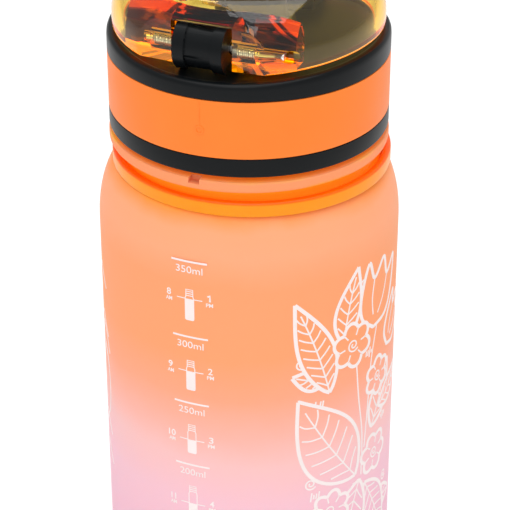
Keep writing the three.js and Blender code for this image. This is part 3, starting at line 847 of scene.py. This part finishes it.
def cap_top():
    low = BAND_HIGH + 0.25
    deck = turned("deck", [
        (0, DECK_LOW), (CAP_RADIUS - 0.8, DECK_LOW), (CAP_RADIUS - 0.8, low, 0.1), (CAP_RADIUS, low, 0.18),
        (CAP_RADIUS, RIM_TOP, 1.1), (CAP_RADIUS - 2.0, RIM_TOP, 0.5), (CAP_RADIUS - 2.4, DECK_HIGH, 0.3),
        (0, DECK_HIGH)], black, facets=160)
    raise_sides(deck, RIM_TOP, RIM_TOP - 2.4)
    knuckle = rod_x(KNUCKLE_RADIUS - 0.5, -KNUCKLE_HALF, KNUCKLE_HALF, HINGE_Y, HINGE_Z)
    combine(knuckle, "UNION",
            rod_x(KNUCKLE_RADIUS, -KNUCKLE_HALF, -COLLAR_START, HINGE_Y, HINGE_Z),
            rod_x(KNUCKLE_RADIUS, COLLAR_START, KNUCKLE_HALF, HINGE_Y, HINGE_Z),
            slab(-KNUCKLE_HALF, KNUCKLE_HALF, HINGE_Y - 2.8, HINGE_Y + 2.9, DECK_LOW + 0.5, HINGE_Z - 3))
    housing = slab(-7.8, 7.8, -24.4, -16.5, DECK_HIGH - 0.5, 165.2)
    cavity = slab(-6.3, 6.3, -26, -17.7, 161, 164.2)
    lugs, bores = [], []
    for side in (-1, 1):
        near, far = sorted((side * 11, side * 14.2))
        lugs.append(rod_x(1.55, near, far, BAIL_Y, BAIL_Z, facets=32))
        lugs.append(slab(near, far, BAIL_Y, -25.5, DECK_LOW + 0.1, BAIL_Z + 1.25))
        bores.append(rod_x(1.1, *sorted((side * 10.5, side * 13.9)), BAIL_Y, BAIL_Z, facets=32))
    combine(deck, "UNION", knuckle, housing, *lugs)
    combine(deck, "DIFFERENCE", cavity, *bores,
            rod_x(PIN_BORE, -7, 7, HINGE_Y, HINGE_Z, facets=40),
            turned("hole", [(0, 150), (SPOUT_RADIUS + 0.3, 150), (SPOUT_RADIUS + 0.3, 170), (0, 170)],
                   black, facets=64, y=SPOUT_Y),
            turned("hole", [(0, 150), (1.5, 150), (1.5, 170), (0, 170)], black, facets=24, y=VENT_Y))
    return bevelled(deck, 0.16)


tie(cap_top(), "cap_top", black, "cap", "black_plastic", "cap_top")

# %% [markdown]
# ## Spout and valve
# The mouthpiece, its washer and the umbrella vent valve sit on the deck, hidden until the lid opens.

# %% Spout, washer, valve
spout_low, spout_high = (corner[2] for corner in span("spout"))
washer_low, washer_high = (corner[2] for corner in span("spout_seal"))
flange_low = washer_high + 0.3
spout_outline = [
    (5, spout_low, 0.3), (SPOUT_RADIUS, spout_low, 0.3), (SPOUT_RADIUS, flange_low, 0.05),
        (9, flange_low, 0.2),
    (9, flange_low + 1, 0.4), (SPOUT_RADIUS + 0.3, flange_low + 1.6, 0.8),
        (SPOUT_RADIUS - 0.25, spout_high - 3, 2),
    (SPOUT_RADIUS, spout_high, 0.9), (5, spout_high, 0.6)]
tie(turned("spout", spout_outline, black, closed=True, y=SPOUT_Y), "spout", black, "cap", "black_plastic",
    "spout")
washer = turned("washer", ring_outline(SPOUT_RADIUS + 0.3, 9, washer_low, washer_high, 0.25), silicone,
                closed=True, y=SPOUT_Y)
tie(washer, "washer", silicone, "cap", "silicone", "spout_seal")
valve_outline = [
    (0, DECK_LOW - 1.5), (1.1, DECK_LOW - 1.4, 0.3), (1.9, DECK_LOW - 0.3, 0.2), (1.2, DECK_LOW - 0.3, 0.1),
    (1.2, DECK_HIGH + 0.3, 0.1), (3, DECK_HIGH + 0.3, 0.2), (2.6, DECK_HIGH + 1, 0.6), (0, DECK_HIGH + 1.4)]
tie(turned("valve", valve_outline, silicone, facets=48, y=VENT_Y), "valve", silicone, "cap", "silicone",
    "vent_valve")

# %% [markdown]
# ## The flip lid
# One clear moulding: a shallow dome with a solid hinge block. A flat facet crosses its back, the
# knuckle's clearance is cut out between two ears, and a stepped bore takes the pin and the springs.
# The dome is turned, the rest cut. Because one sees into the plastic, the bores and the notch are real.

# %% Flip lid
LID_EDGE = 162.6
LID_WALL = 2
CROWN_START = 166
CROWN_RADIUS = 12
FACET_Y = 24.8
EAR_START = 6.45
POCKET_END = 11.2
PLUG_RADIUS = 8.4


def flip_lid():
    rise = LID_TOP - CROWN_START
    inner_radius = LID_RADIUS - LID_WALL
    outer_outline = [(0, LID_EDGE), (LID_RADIUS, LID_EDGE, 0.4),
        *quarter(LID_RADIUS, CROWN_START, CROWN_RADIUS, rise),
                     (0, LID_TOP)]
    dome = turned("dome", outer_outline, amber)
    hollow = turned("hollow", [
        (0, LID_EDGE - 2), (inner_radius, LID_EDGE - 2),
        *quarter(inner_radius, CROWN_START, CROWN_RADIUS - LID_WALL, rise - LID_WALL),
            (0, LID_TOP - LID_WALL)], amber)
    raise_sides(dome, LID_EDGE, CROWN_START)
    block = rod_x(7.2, -17.6, 17.6, HINGE_Y, HINGE_Z, facets=96)
    combine(block, "UNION", slab(-17.6, 17.6, 21.9, FACET_Y + 1, LID_EDGE - 1, LID_TOP))
    whole = dome.copy()
    whole.data = dome.data.copy()
    bpy.context.collection.objects.link(whole)
    combine(block, "INTERSECT", whole)
    combine(dome, "DIFFERENCE", hollow)
    cup = turned("cup", ring_outline(PLUG_RADIUS + 0.4, PLUG_RADIUS + 1.6, 172.4, LID_TOP - 1, 0.2), amber,
                 closed=True, facets=64, y=SPOUT_Y)
    nose = slab(-5, 5, -30.4, -27, 166.3, 167.7)
    combine(dome, "UNION", block, cup, nose)
    bevel = slab(-30, 30, 0, 20, -20, 20)
    bevel.data.transform(Matrix.Translation((0, FACET_Y * MM,
        171.5 * MM)) @ Matrix.Rotation(math.radians(30), 4, "X"))
    combine(dome, "DIFFERENCE",
            slab(-40, 40, FACET_Y, 40, 150, 200),
            bevel,
            rod_x(KNUCKLE_RADIUS + 0.3, -EAR_START, EAR_START, HINGE_Y, HINGE_Z, facets=96),
            slab(-EAR_START, EAR_START, HINGE_Y - 2, 40, 150, HINGE_Z),
            rod_x(PIN_BORE, -LID_RADIUS, 12.7, HINGE_Y, HINGE_Z, facets=40),
            rod_x(2.2, -POCKET_END, -EAR_START + 1, HINGE_Y, HINGE_Z, facets=40),
            rod_x(2.2, EAR_START - 1, POCKET_END, HINGE_Y, HINGE_Z, facets=40),
            slab(-6.5, 6.5, -31, -24, 150, 164.5))
    combine(dome, "UNION", slab(-3.2, 3.2, -26.9, -25.6, 161.2, 165.5))
    combine(dome, "UNION", slab(-3.2, 3.2, -26, -24.8, 161.2, 162))
    return bevelled(dome, 0.18)


EDGE_FLOOR, EDGE_GLOW, EDGE_INNER = 162.2, 0.45, 23


def light_the_edge(piece):
    """Gives the lid's lowest faces the finish with the painted glow, all the way round."""
    piece.data.materials.append(amber_edge_painted_glow)
    for face in piece.data.polygons:
        x, y, z = (part / MM for part in face.center)
        if EDGE_FLOOR < z < LID_EDGE + EDGE_GLOW + x * x / RIM_WAVE and math.hypot(x, y) > EDGE_INNER:
            face.material_index = 1


light_the_edge(tie(flip_lid(), "lid", amber, "lid", "amber_lid", "flip_lid"))
plug_outline = [
    (0, 170.7), (4.3, 170.7, 0.3), (4.6, 171.8, 0.1), (PLUG_RADIUS, 171.8, 0.3),
    (PLUG_RADIUS, 174.6, 0.3), (0, 174.6)]
tie(turned("plug", plug_outline, silicone, facets=64, y=SPOUT_Y), "plug", silicone, "lid", "silicone",
    "lid_plug")

# %% [markdown]
# ## Pin and springs
# The steel pin passes through knuckle and ears; a close-wound torsion spring sits round it in each ear.

# %% Pin and springs
pin_low, pin_high = span("hinge_pin")
pin = rod_x(1.0, pin_low[0], pin_high[0], HINGE_Y, HINGE_Z, steel, facets=40, fillet=0.25)
tie(pin, "pin", steel, "cap", "steel", "hinge_pin")


def hinge_spring(side, node):
    low, high = span(node)
    wire = 0.2
    length = high[0] - low[0] - 2 * wire
    coil = wire_coil(node, 1.65, wire, length, round(length / (2.1 * wire)))
    coil.data.transform(Matrix.Translation(((low[0] + wire) * MM, HINGE_Y * MM, HINGE_Z * MM))
                        @ Matrix.Rotation(math.pi / 2, 4, "Y"))
    return coil


for side, node in ((1, "hinge_spring_left"), (-1, "hinge_spring_right")):
    tie(hinge_spring(side, node), node.replace("hinge_", ""), steel, "lid", "steel", node)

# %% [markdown]
# ## The latch
# A sliding plate with a push button on its nose, a window that catches the lid's hook and a small
# spring behind it. Ribs on the button's face keep a wet finger from slipping.

# %% Latch button, spring and bail
PLATE_LOW, PLATE_HIGH = 162.3, 163.9


def latch_button():
    low, high = span("latch_button")
    plate = slab(-6, 6, low[1] + 1, high[1], PLATE_LOW, PLATE_HIGH)
    combine(plate, "UNION", slab(-6, 6, low[1], low[1] + 1.9, low[2], high[2]))
    combine(plate, "DIFFERENCE", slab(-3.6, 3.6, -28.7, -25.3, PLATE_LOW - 1, PLATE_HIGH + 1),
            *(slab(x - 0.25, x + 0.25, low[1] - 1, low[1] + 0.2, low[2] + 0.5,
                high[2] - 0.5) for x in range(-4, 5, 2)))
    return bevelled(plate, 0.12)


def latch_spring():
    low, high = span("latch_spring")
    wire = 0.2
    coil = wire_coil("latch_spring", 0.95, wire, high[1] - low[1] - 2 * wire, 5)
    middle = (low + high) / 2
    coil.data.transform(Matrix.Translation(Vector((middle[0], high[1] - wire, middle[2])) * MM)
                        @ Matrix.Rotation(math.pi / 2, 4, "X"))
    return coil


def bail():
    """A round rod bent into a U, swept along a path with rounded corners."""
    reach, half, stub, bend = 9, 9.4, 13.3, 1.6
    corners = [(-stub, 0), (-half, 0), (-half, -reach), (half, -reach), (half, 0), (stub, 0)]
    points = rounded([(x, z, bend) for x, z in corners], False)
    path = bpy.data.curves.new("bail", "CURVE")
    path.dimensions = "3D"
    path.bevel_depth = 0.8 * MM
    path.bevel_resolution = 6
    path.use_fill_caps = True
    spline = path.splines.new("POLY")
    spline.points.add(len(points) - 1)
    for point, (x, z) in zip(spline.points, points):
        point.co = (x * MM, BAIL_Y * MM, (BAIL_Z + z) * MM, 1)
    rod = bpy.data.objects.new("bail", path)
    bpy.context.collection.objects.link(rod)
    graph = bpy.context.evaluated_depsgraph_get()
    mesh = bpy.data.meshes.new_from_object(rod.evaluated_get(graph))
    bpy.data.objects.remove(rod)
    piece = bpy.data.objects.new("bail", mesh)
    bpy.context.collection.objects.link(piece)
    return piece


tie(latch_button(), "button", black, "latch", "black_plastic", "latch_button")
spring = tie(latch_spring(), "button_spring", steel, "cap", "steel", "latch_spring")
tie(bail(), "bail", black, "bail", "black_plastic", "lock_bail")

# %% [markdown]
# ## The print
# White ink is screen-printed on the wall, so it stands a few hundredths of a millimetre proud. Lines
# are drawn flat, in millimetres round the wall and up it; a tree gives them width and wraps them round
# the body. Figures come from Blender's own font, laid flat and wrapped the same way.

# %% Printing tools
INK = 0.05


def printed_line_tree():
    tree, start, finish = new_tree("Printed line", [
        ("Width", "Float"), ("Thickness", "Float"), ("Body radius", "Float"), ("Finish", "Material")])
    wire = place_node(tree, "GeometryNodeMeshToCurve", {0: start.outputs["Geometry"]})
    level = place_node(tree, "GeometryNodeSetCurveNormal", {0: wire.outputs[0]}, mode="Z_UP")
    section = place_node(tree, "GeometryNodeCurvePrimitiveQuadrilateral", {
        "Width": start.outputs["Width"], "Height": start.outputs["Thickness"]})
    ribbon = place_node(tree, "GeometryNodeCurveToMesh", {
        "Curve": level.outputs[0], "Profile Curve": section.outputs[0], "Fill Caps": True})
    parts = place_node(tree, "ShaderNodeSeparateXYZ", {
        0: place_node(tree, "GeometryNodeInputPosition").outputs[0]})
    turn = place_node(tree, "ShaderNodeMath", {
        0: parts.outputs["X"], 1: start.outputs["Body radius"]}, operation="DIVIDE")
    angle = place_node(tree, "ShaderNodeMath", {0: turn.outputs[0], 1: math.pi / 2}, operation="ADD")
    out = place_node(tree, "ShaderNodeMath", {
        0: parts.outputs["Z"], 1: start.outputs["Body radius"]}, operation="ADD")
    sides = []
    for trig in ("COSINE", "SINE"):
        part = place_node(tree, "ShaderNodeMath", {0: angle.outputs[0]}, operation=trig)
        sides.append(place_node(tree, "ShaderNodeMath", {0: out.outputs[0], 1: part.outputs[0]},
                                operation="MULTIPLY").outputs[0])
    place = place_node(tree, "ShaderNodeCombineXYZ", {"X": sides[0], "Y": sides[1], "Z": parts.outputs["Y"]})
    wrapped = place_node(tree, "GeometryNodeSetPosition", {
        "Geometry": ribbon.outputs[0], "Position": place.outputs[0]})
    end_tree(tree, start, finish, wrapped.outputs[0])
    return tree


PRINTED_LINE = printed_line_tree()


def smooth_path(points, steps=6):
    """A Catmull-Rom path through points, so that a line through listed points has no corners."""
    pts = [np.array(p, float) for p in points]
    pts = [2 * pts[0] - pts[1]] + pts + [2 * pts[-1] - pts[-2]]
    path = []
    for a, b, c, d in zip(pts, pts[1:], pts[2:], pts[3:]):
        for t in np.linspace(0, 1, steps, endpoint=False):
            path.append(0.5 * (2 * b + (c - a) * t + (2 * a - 5 * b + 4 * c - d) * t * t
                               + (3 * b - a - 3 * c + d) * t ** 3))
    path.append(pts[-2])
    return path


def printed_lines(name, paths, width):
    """Ribbons of ink along flat paths of (round the wall, up) in millimetres."""
    corners, edges = [], []
    for path in paths:
        first = len(corners)
        corners += [(s * MM, z * MM, 0) for s, z in path]
        edges += [(i, i + 1) for i in range(first, len(corners) - 1)]
    mesh = bpy.data.meshes.new(name)
    mesh.from_pydata(corners, edges, [])
    return run_tree(name, mesh, PRINTED_LINE, Width=width * MM, Thickness=2 * INK * MM, Finish=ink,
                    **{"Body radius": BODY_RADIUS * MM})


def wrap(mesh):
    """Bends a flat mesh round the body: x goes round, y goes up, z stands out."""
    flat = corner_array(mesh)
    angle = math.pi / 2 + flat[:, 0] / (BODY_RADIUS * MM)
    out = BODY_RADIUS * MM + flat[:, 2]
    bent = np.column_stack([out * np.cos(angle), out * np.sin(angle), flat[:, 1]])
    mesh.vertices.foreach_set("co", bent.ravel())
    mesh.update()


def printed_text(words, s, z, height, width, heavier=0.0):
    """Figures centred on (s, z), as wide and tall as asked; heavier thickens their strokes."""
    font = bpy.data.curves.new(words, "FONT")
    font.body = words
    font.offset = heavier
    font.align_x = "CENTER"
    font.extrude = 0.5
    letters = bpy.data.objects.new(words, font)
    bpy.context.collection.objects.link(letters)
    bpy.context.view_layer.update()
    graph = bpy.context.evaluated_depsgraph_get()
    mesh = bpy.data.meshes.new_from_object(letters.evaluated_get(graph))
    bpy.data.objects.remove(letters)
    flat = corner_array(mesh)
    low, high = flat.min(0), flat.max(0)
    scale = np.array([width, height, 2 * INK]) / (high - low)
    flat = (flat - (low + high) / 2) * scale + np.array([s, z, 0])
    mesh.vertices.foreach_set("co", (flat * MM).ravel())
    wrap(mesh)
    piece = bpy.data.objects.new("text", mesh)
    bpy.context.collection.objects.link(piece)
    return piece


def printed_patch(outline):
    """A filled flat shape of ink."""
    count = len(outline)
    corners = [(s * MM, z * MM, side * INK * MM) for side in (-1, 1) for s, z in outline]
    faces = [tuple(reversed(range(count))), tuple(range(count, 2 * count))]
    faces += [(i, (i + 1) % count, count + (i + 1) % count, count + i) for i in range(count)]
    mesh = bpy.data.meshes.new("patch")
    mesh.from_pydata(corners, [], faces)
    wrap(mesh)
    piece = bpy.data.objects.new("patch", mesh)
    bpy.context.collection.objects.link(piece)
    return piece


# %% [markdown]
# ### The scale
# Each mark is a line with its volume under it. Between two marks a small bottle shows the level, with
# the hour of the morning on its left and of the afternoon on its right.

# %% Scale
MARKS = [(350, 122.45), (300, 104.4), (250, 87.9), (200, 71.9), (150, 55.8), (100, 39.6), (50, 23.2)]


LEVELS = [1.2, 0.75, -0.45, -1.2, -1.9, -2.6]  # how far each bottle's level stands above its middle
SCALE_SHIFT = -0.15
HOURS_LEFT, HOURS_RIGHT = -4.78, 4.4


def icon(middle, level):
    """A tiny bottle: cap lines, an outline and a fill up to the level. Its height is 7.35 mm."""
    half, neck = 0.95, 0.78
    foot, top, shoulder = middle - 3.95, middle + 3.4, middle + 1.35
    box = [(-half, level), (-half, shoulder), (-neck, shoulder + 0.5), (-neck, top), (neck, top),
           (neck, shoulder + 0.5), (half, shoulder), (half, level)]
    lines = [box] + [[(-neck, middle + z), (neck, middle + z)] for z in (1.95, 2.45, 2.95)]
    edge = half + 0.1
    fill = rounded([(-edge, foot, 0.45), (edge, foot, 0.45), (edge, level), (-edge, level)], True)
    return lines, fill


def scale_print():
    parts, ticks, fine = [], [], []
    for volume, height in MARKS:
        ticks.append([(s, height) for s in np.linspace(-3.97, 3.97, 9)])
        parts.append(printed_text("%dml" % volume, 0, height - 1.9, 1.6, 5.95 if volume > 50 else 4.9))
    for i, (volume, height) in enumerate(MARKS[:6]):
        middle = (height + MARKS[i + 1][1]) / 2 - 1.0
        level = middle + LEVELS[i]
        lines, fill = icon(middle, level)
        fine += lines
        fine.append([(s, level) for s in np.linspace(-2.85, -1.0, 4)])
        fine.append([(s, level) for s in np.linspace(1.0, 2.85, 4)])
        parts.append(printed_patch(fill))
        for hour, word, s in ((8 + i, "AM", HOURS_LEFT), (1 + i, "PM", HOURS_RIGHT)):
            if hour == 1:
                ticks.append([(s - 0.4, level + 1.2), (s + 0.1, level + 1.5), (s + 0.1, level + 0.05)])
            else:
                wide = {10: 1.7, 11: 1.2, 12: 1.6, 13: 1.6}.get(hour, 1.0)
                parts.append(printed_text(str(hour), s, level + 0.77, 1.55, wide, 0.014))
            parts.append(printed_text(word, s, level - 0.8, 0.9, 1.5, 0.014))
    thick = printed_lines("ticks", ticks, 0.42)
    whole = joined(thick, printed_lines("fine", fine, 0.2), *parts)
    whole.data.transform(Matrix.Rotation(SCALE_SHIFT / BODY_RADIUS, 4, "Z"))
    return whole


tie(scale_print(), "printed_scale", ink, "bottle", "frosted_body")

# %% [markdown]
# ### The drawing
# Beside the scale grows a bunch of leaves and blossoms in line art. Every motif is a formula, so a leaf
# or a blossom of any size and lean costs one call. Outlines are drawn with a broad pen and veins,
# folds and hatching with a fine one. Motifs are listed front first, and a line that runs behind an
# earlier motif is left out, as a person with a pen would do.

# %% Motifs
BROAD_PEN, FINE_PEN = 0.85, 0.36
PEN_STEP = 0.3
SHARP_TURN = 0.9  # a pen lifts where a line turns by more than this many radians


def turn_and_move(points, lean, at):
    turn = math.radians(lean)
    c, s = math.cos(turn), math.sin(turn)
    return [(at[0] + x * c - y * s, at[1] + x * s + y * c) for x, y in points]


def leaf(at, lean, length, width, veins=5, curl=0.0):
    """A pointed leaf that grows from `at`, with a midrib and paired veins; curl bends it sideways."""
    def point(share, side):
        half = width / 2 * math.sin(math.pi * share ** 0.8)
        return length * share, side * half + curl * share * share
    shares = np.linspace(0, 1, 25)
    rim = [point(a, 1) for a in shares] + [point(a, -1) for a in shares[::-1]]
    inner = [[point(a, 0) for a in shares[:22]]]
    for i in range(veins):
        foot, tip = (i + 0.8) / (veins + 2.2), (i + 1.7) / (veins + 2.2)
        inner += [smooth_path([point(foot, 0), point((foot + tip) / 2, side * 0.42),
            point(tip, side * 0.78)], 4)
                  for side in (-1, 1)]
    return turn_and_move(rim, lean, at), [turn_and_move(line, lean, at) for line in inner]


def spiral(at, radius, turns=1.9):
    angles = np.linspace(0.6, 2 * math.pi * turns, int(24 * turns))
    return [(at[0] + radius * t / angles[-1] * math.cos(t), at[1] + radius * t / angles[-1] * math.sin(t))
            for t in angles]


def blossom(at, radius, petals, lean=0):
    """Round petals about a spiral heart."""
    angles = np.linspace(0, 2 * math.pi, petals * 12 + 1)
    reach = [radius * (0.74 + 0.26 * abs(math.sin(petals * a / 2))) for a in angles]
    rim = [(r * math.cos(a), r * math.sin(a)) for r, a in zip(reach, angles)]
    folds = [turn_and_move([(radius * 0.42, 0), (radius * 0.7, 0)], 360 * i / petals + lean, at)
             for i in range(petals)]
    return turn_and_move(rim, lean, at), [spiral(at, radius * 0.3), *folds]


def tulip(at, lean, length, width):
    """A cup of three petals: a rounded rim with three tips, and two folds."""
    rim = [(0, 0), (0.16, 0.4), (0.5, 0.55), (1, 0.5), (0.76, 0.24), (1.04, 0), (0.76, -0.24), (1, -0.5),
           (0.5, -0.55), (0.16, -0.4), (0, 0)]
    folds = [[(0.76, side * 0.24), (0.45, side * 0.2), (0.2, side * 0.08)] for side in (-1, 1)]
    sized = [[(x * length, y * width) for x, y in line] for line in (rim, *folds)]
    drawn = [turn_and_move(smooth_path(line), lean, at) for line in sized]
    return drawn[0], drawn[1:]


def hatch(at, width, height, lean=8):
    """A patch of upright strokes of uneven length."""
    gap = 0.62
    return [turn_and_move([(-reach / 2, 0), (reach / 2, 0)], 90 - lean, (at[0] + i * gap, at[1]))
            for i, reach in enumerate(height * (0.65 + 0.35 * math.sin(2.4 * j + at[0]))
                                      for j in range(round(width / gap)))]


def inside(place, rim):
    """Whether a place lies inside a closed rim, by counting how often a level ray crosses it."""
    x, y = place
    a, b = rim, np.roll(rim, -1, axis=0)
    crosses = (a[:, 1] > y) != (b[:, 1] > y)
    rise = np.where(crosses, b[:, 1] - a[:, 1], 1)
    return bool(np.count_nonzero(crosses & (x < a[:, 0] + (y - a[:, 1]) * (b[:, 0] - a[:, 0]) / rise)) % 2)


def seen_parts(path, masks):
    """The stretches of a path that no earlier motif hides, parted at sharp corners."""
    path = np.array(path, float)
    lengths = np.concatenate([[0], np.cumsum(np.linalg.norm(np.diff(path, axis=0), axis=1))])
    steps = np.linspace(0, lengths[-1], max(2, int(lengths[-1] / PEN_STEP) + 1))
    points = np.column_stack([np.interp(steps, lengths, path[:, i]) for i in (0, 1)])
    ahead = np.diff(points, axis=0, append=points[-1:])
    heading = np.unwrap(np.arctan2(ahead[:, 1], ahead[:, 0]))
    parts, part = [], []
    for i, place in enumerate(points):
        if any(inside(place, mask) for mask in masks):
            parts.append(part)
            part = []
            continue
        part.append(tuple(place))
        if 0 < i < len(points) - 1 and abs(heading[i] - heading[i - 1]) > SHARP_TURN:
            parts.append(part)
            part = [tuple(place)]
    return [p for p in parts + [part] if len(p) > 2]


def draw(motifs, strokes):
    """Broad outlines and fine details of the motifs, listed front first, then loose fine strokes."""
    broad, fine, masks = [], [], []
    for rim, details in motifs:
        broad += seen_parts(rim, masks)
        for line in details:
            fine += seen_parts(line, masks)
        masks.append(np.array(rim))
    for line in strokes:
        fine += seen_parts(line, masks)
    return broad, fine


# %% The bunch beside the scale
def bunch():
    motifs = [
        blossom((36.8, 98.5), 5.6, 6, 10),
        leaf((38.5, 64), 128, 29, 15, 6, -3),
        blossom((46.2, 86.5), 4.8, 6, 0),
        leaf((30.5, 89), 104, 25, 8.4, 8, 2.5),
        blossom((45.6, 66.5), 5.2, 6, 20),
        tulip((43.5, 100), 76, 15.5, 12),
        leaf((34, 100), 84, 17.5, 7, 5, -2),
        tulip((50.5, 92), 52, 12, 9),
        leaf((29.5, 92), 160, 8.5, 5, 3),
        leaf((47, 78), 12, 14, 6, 4, 2),
        leaf((44, 74), 62, 16, 8, 4),
        blossom((31.4, 57.5), 5.4, 7, 0),
        leaf((40, 62), 250, 24, 10, 6, 2),
        leaf((42, 60), 300, 22, 9, 6, -2),
        blossom((26.6, 46), 4.2, 6, 15),
        leaf((32, 50), 215, 13, 6.5, 4),
        blossom((47.5, 47), 5, 6, 0),
        leaf((34, 44), 262, 20, 8, 5, 2),
        leaf((45, 52), 350, 12, 6, 3),
        blossom((39.5, 33), 4.4, 6, 10),
    ]
    stems = [smooth_path([(38, 93), (39, 84), (40.5, 74), (40.6, 63)]),
             smooth_path([(45, 100), (43.2, 92), (42.4, 82), (41.4, 70)]),
             smooth_path([(38, 62), (37.2, 48), (38.6, 36), (37.4, 24)])]
    strokes = [*stems, *hatch((41.2, 94.2), 2.6, 2.6), *hatch((27.0, 86.6), 2.2, 2.2),
        *hatch((48.6, 74.2), 2.6, 2.4),
               *hatch((26.4, 62.8), 2.4, 2.4), spiral((23.6, 97.8), 1.3), spiral((26.2, 66.4), 1.5),
               spiral((39.8, 112.6), 1.2), spiral((51.6, 56.6), 1.5)]
    return draw(motifs, strokes)


# %% The flourish on the other side
def flourish():
    """Loose pen curls and dashes on the far side of the scale."""
    waves = []
    for start, reach, height in ((-29, -12, 104), (-28.5, -14, 92), (-28.6, -13, 66), (-28.4, -10, 58)):
        waves.append(smooth_path([(start, height), (start - 2, height + 2.4), (start - 4.5, height + 4.6),
                                  (start + reach * 0.6, height + 1.5), (start + reach, height + 4)]))
    waves.append(smooth_path([(-28, 88), (-30, 92), (-33, 94), (-33, 89), (-30, 86), (-28.6, 80), (-29.5, 73),
                              (-33, 68)]))
    waves.append(smooth_path([(-29, 84), (-31, 88), (-35, 90), (-38, 84), (-40, 78), (-44, 82), (-42, 90),
                              (-38, 92)]))
    return waves


broad, fine = bunch()
art = joined(printed_lines("broad", broad, BROAD_PEN), printed_lines("fine", fine, FINE_PEN))
tie(art, "line_art", ink, "bottle", "frosted_body")
tie(printed_lines("flourish", flourish(), 0.42), "flourish", ink, "bottle", "frosted_body")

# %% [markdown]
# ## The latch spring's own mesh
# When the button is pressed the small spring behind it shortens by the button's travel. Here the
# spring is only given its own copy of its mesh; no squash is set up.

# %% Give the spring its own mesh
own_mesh(spring)
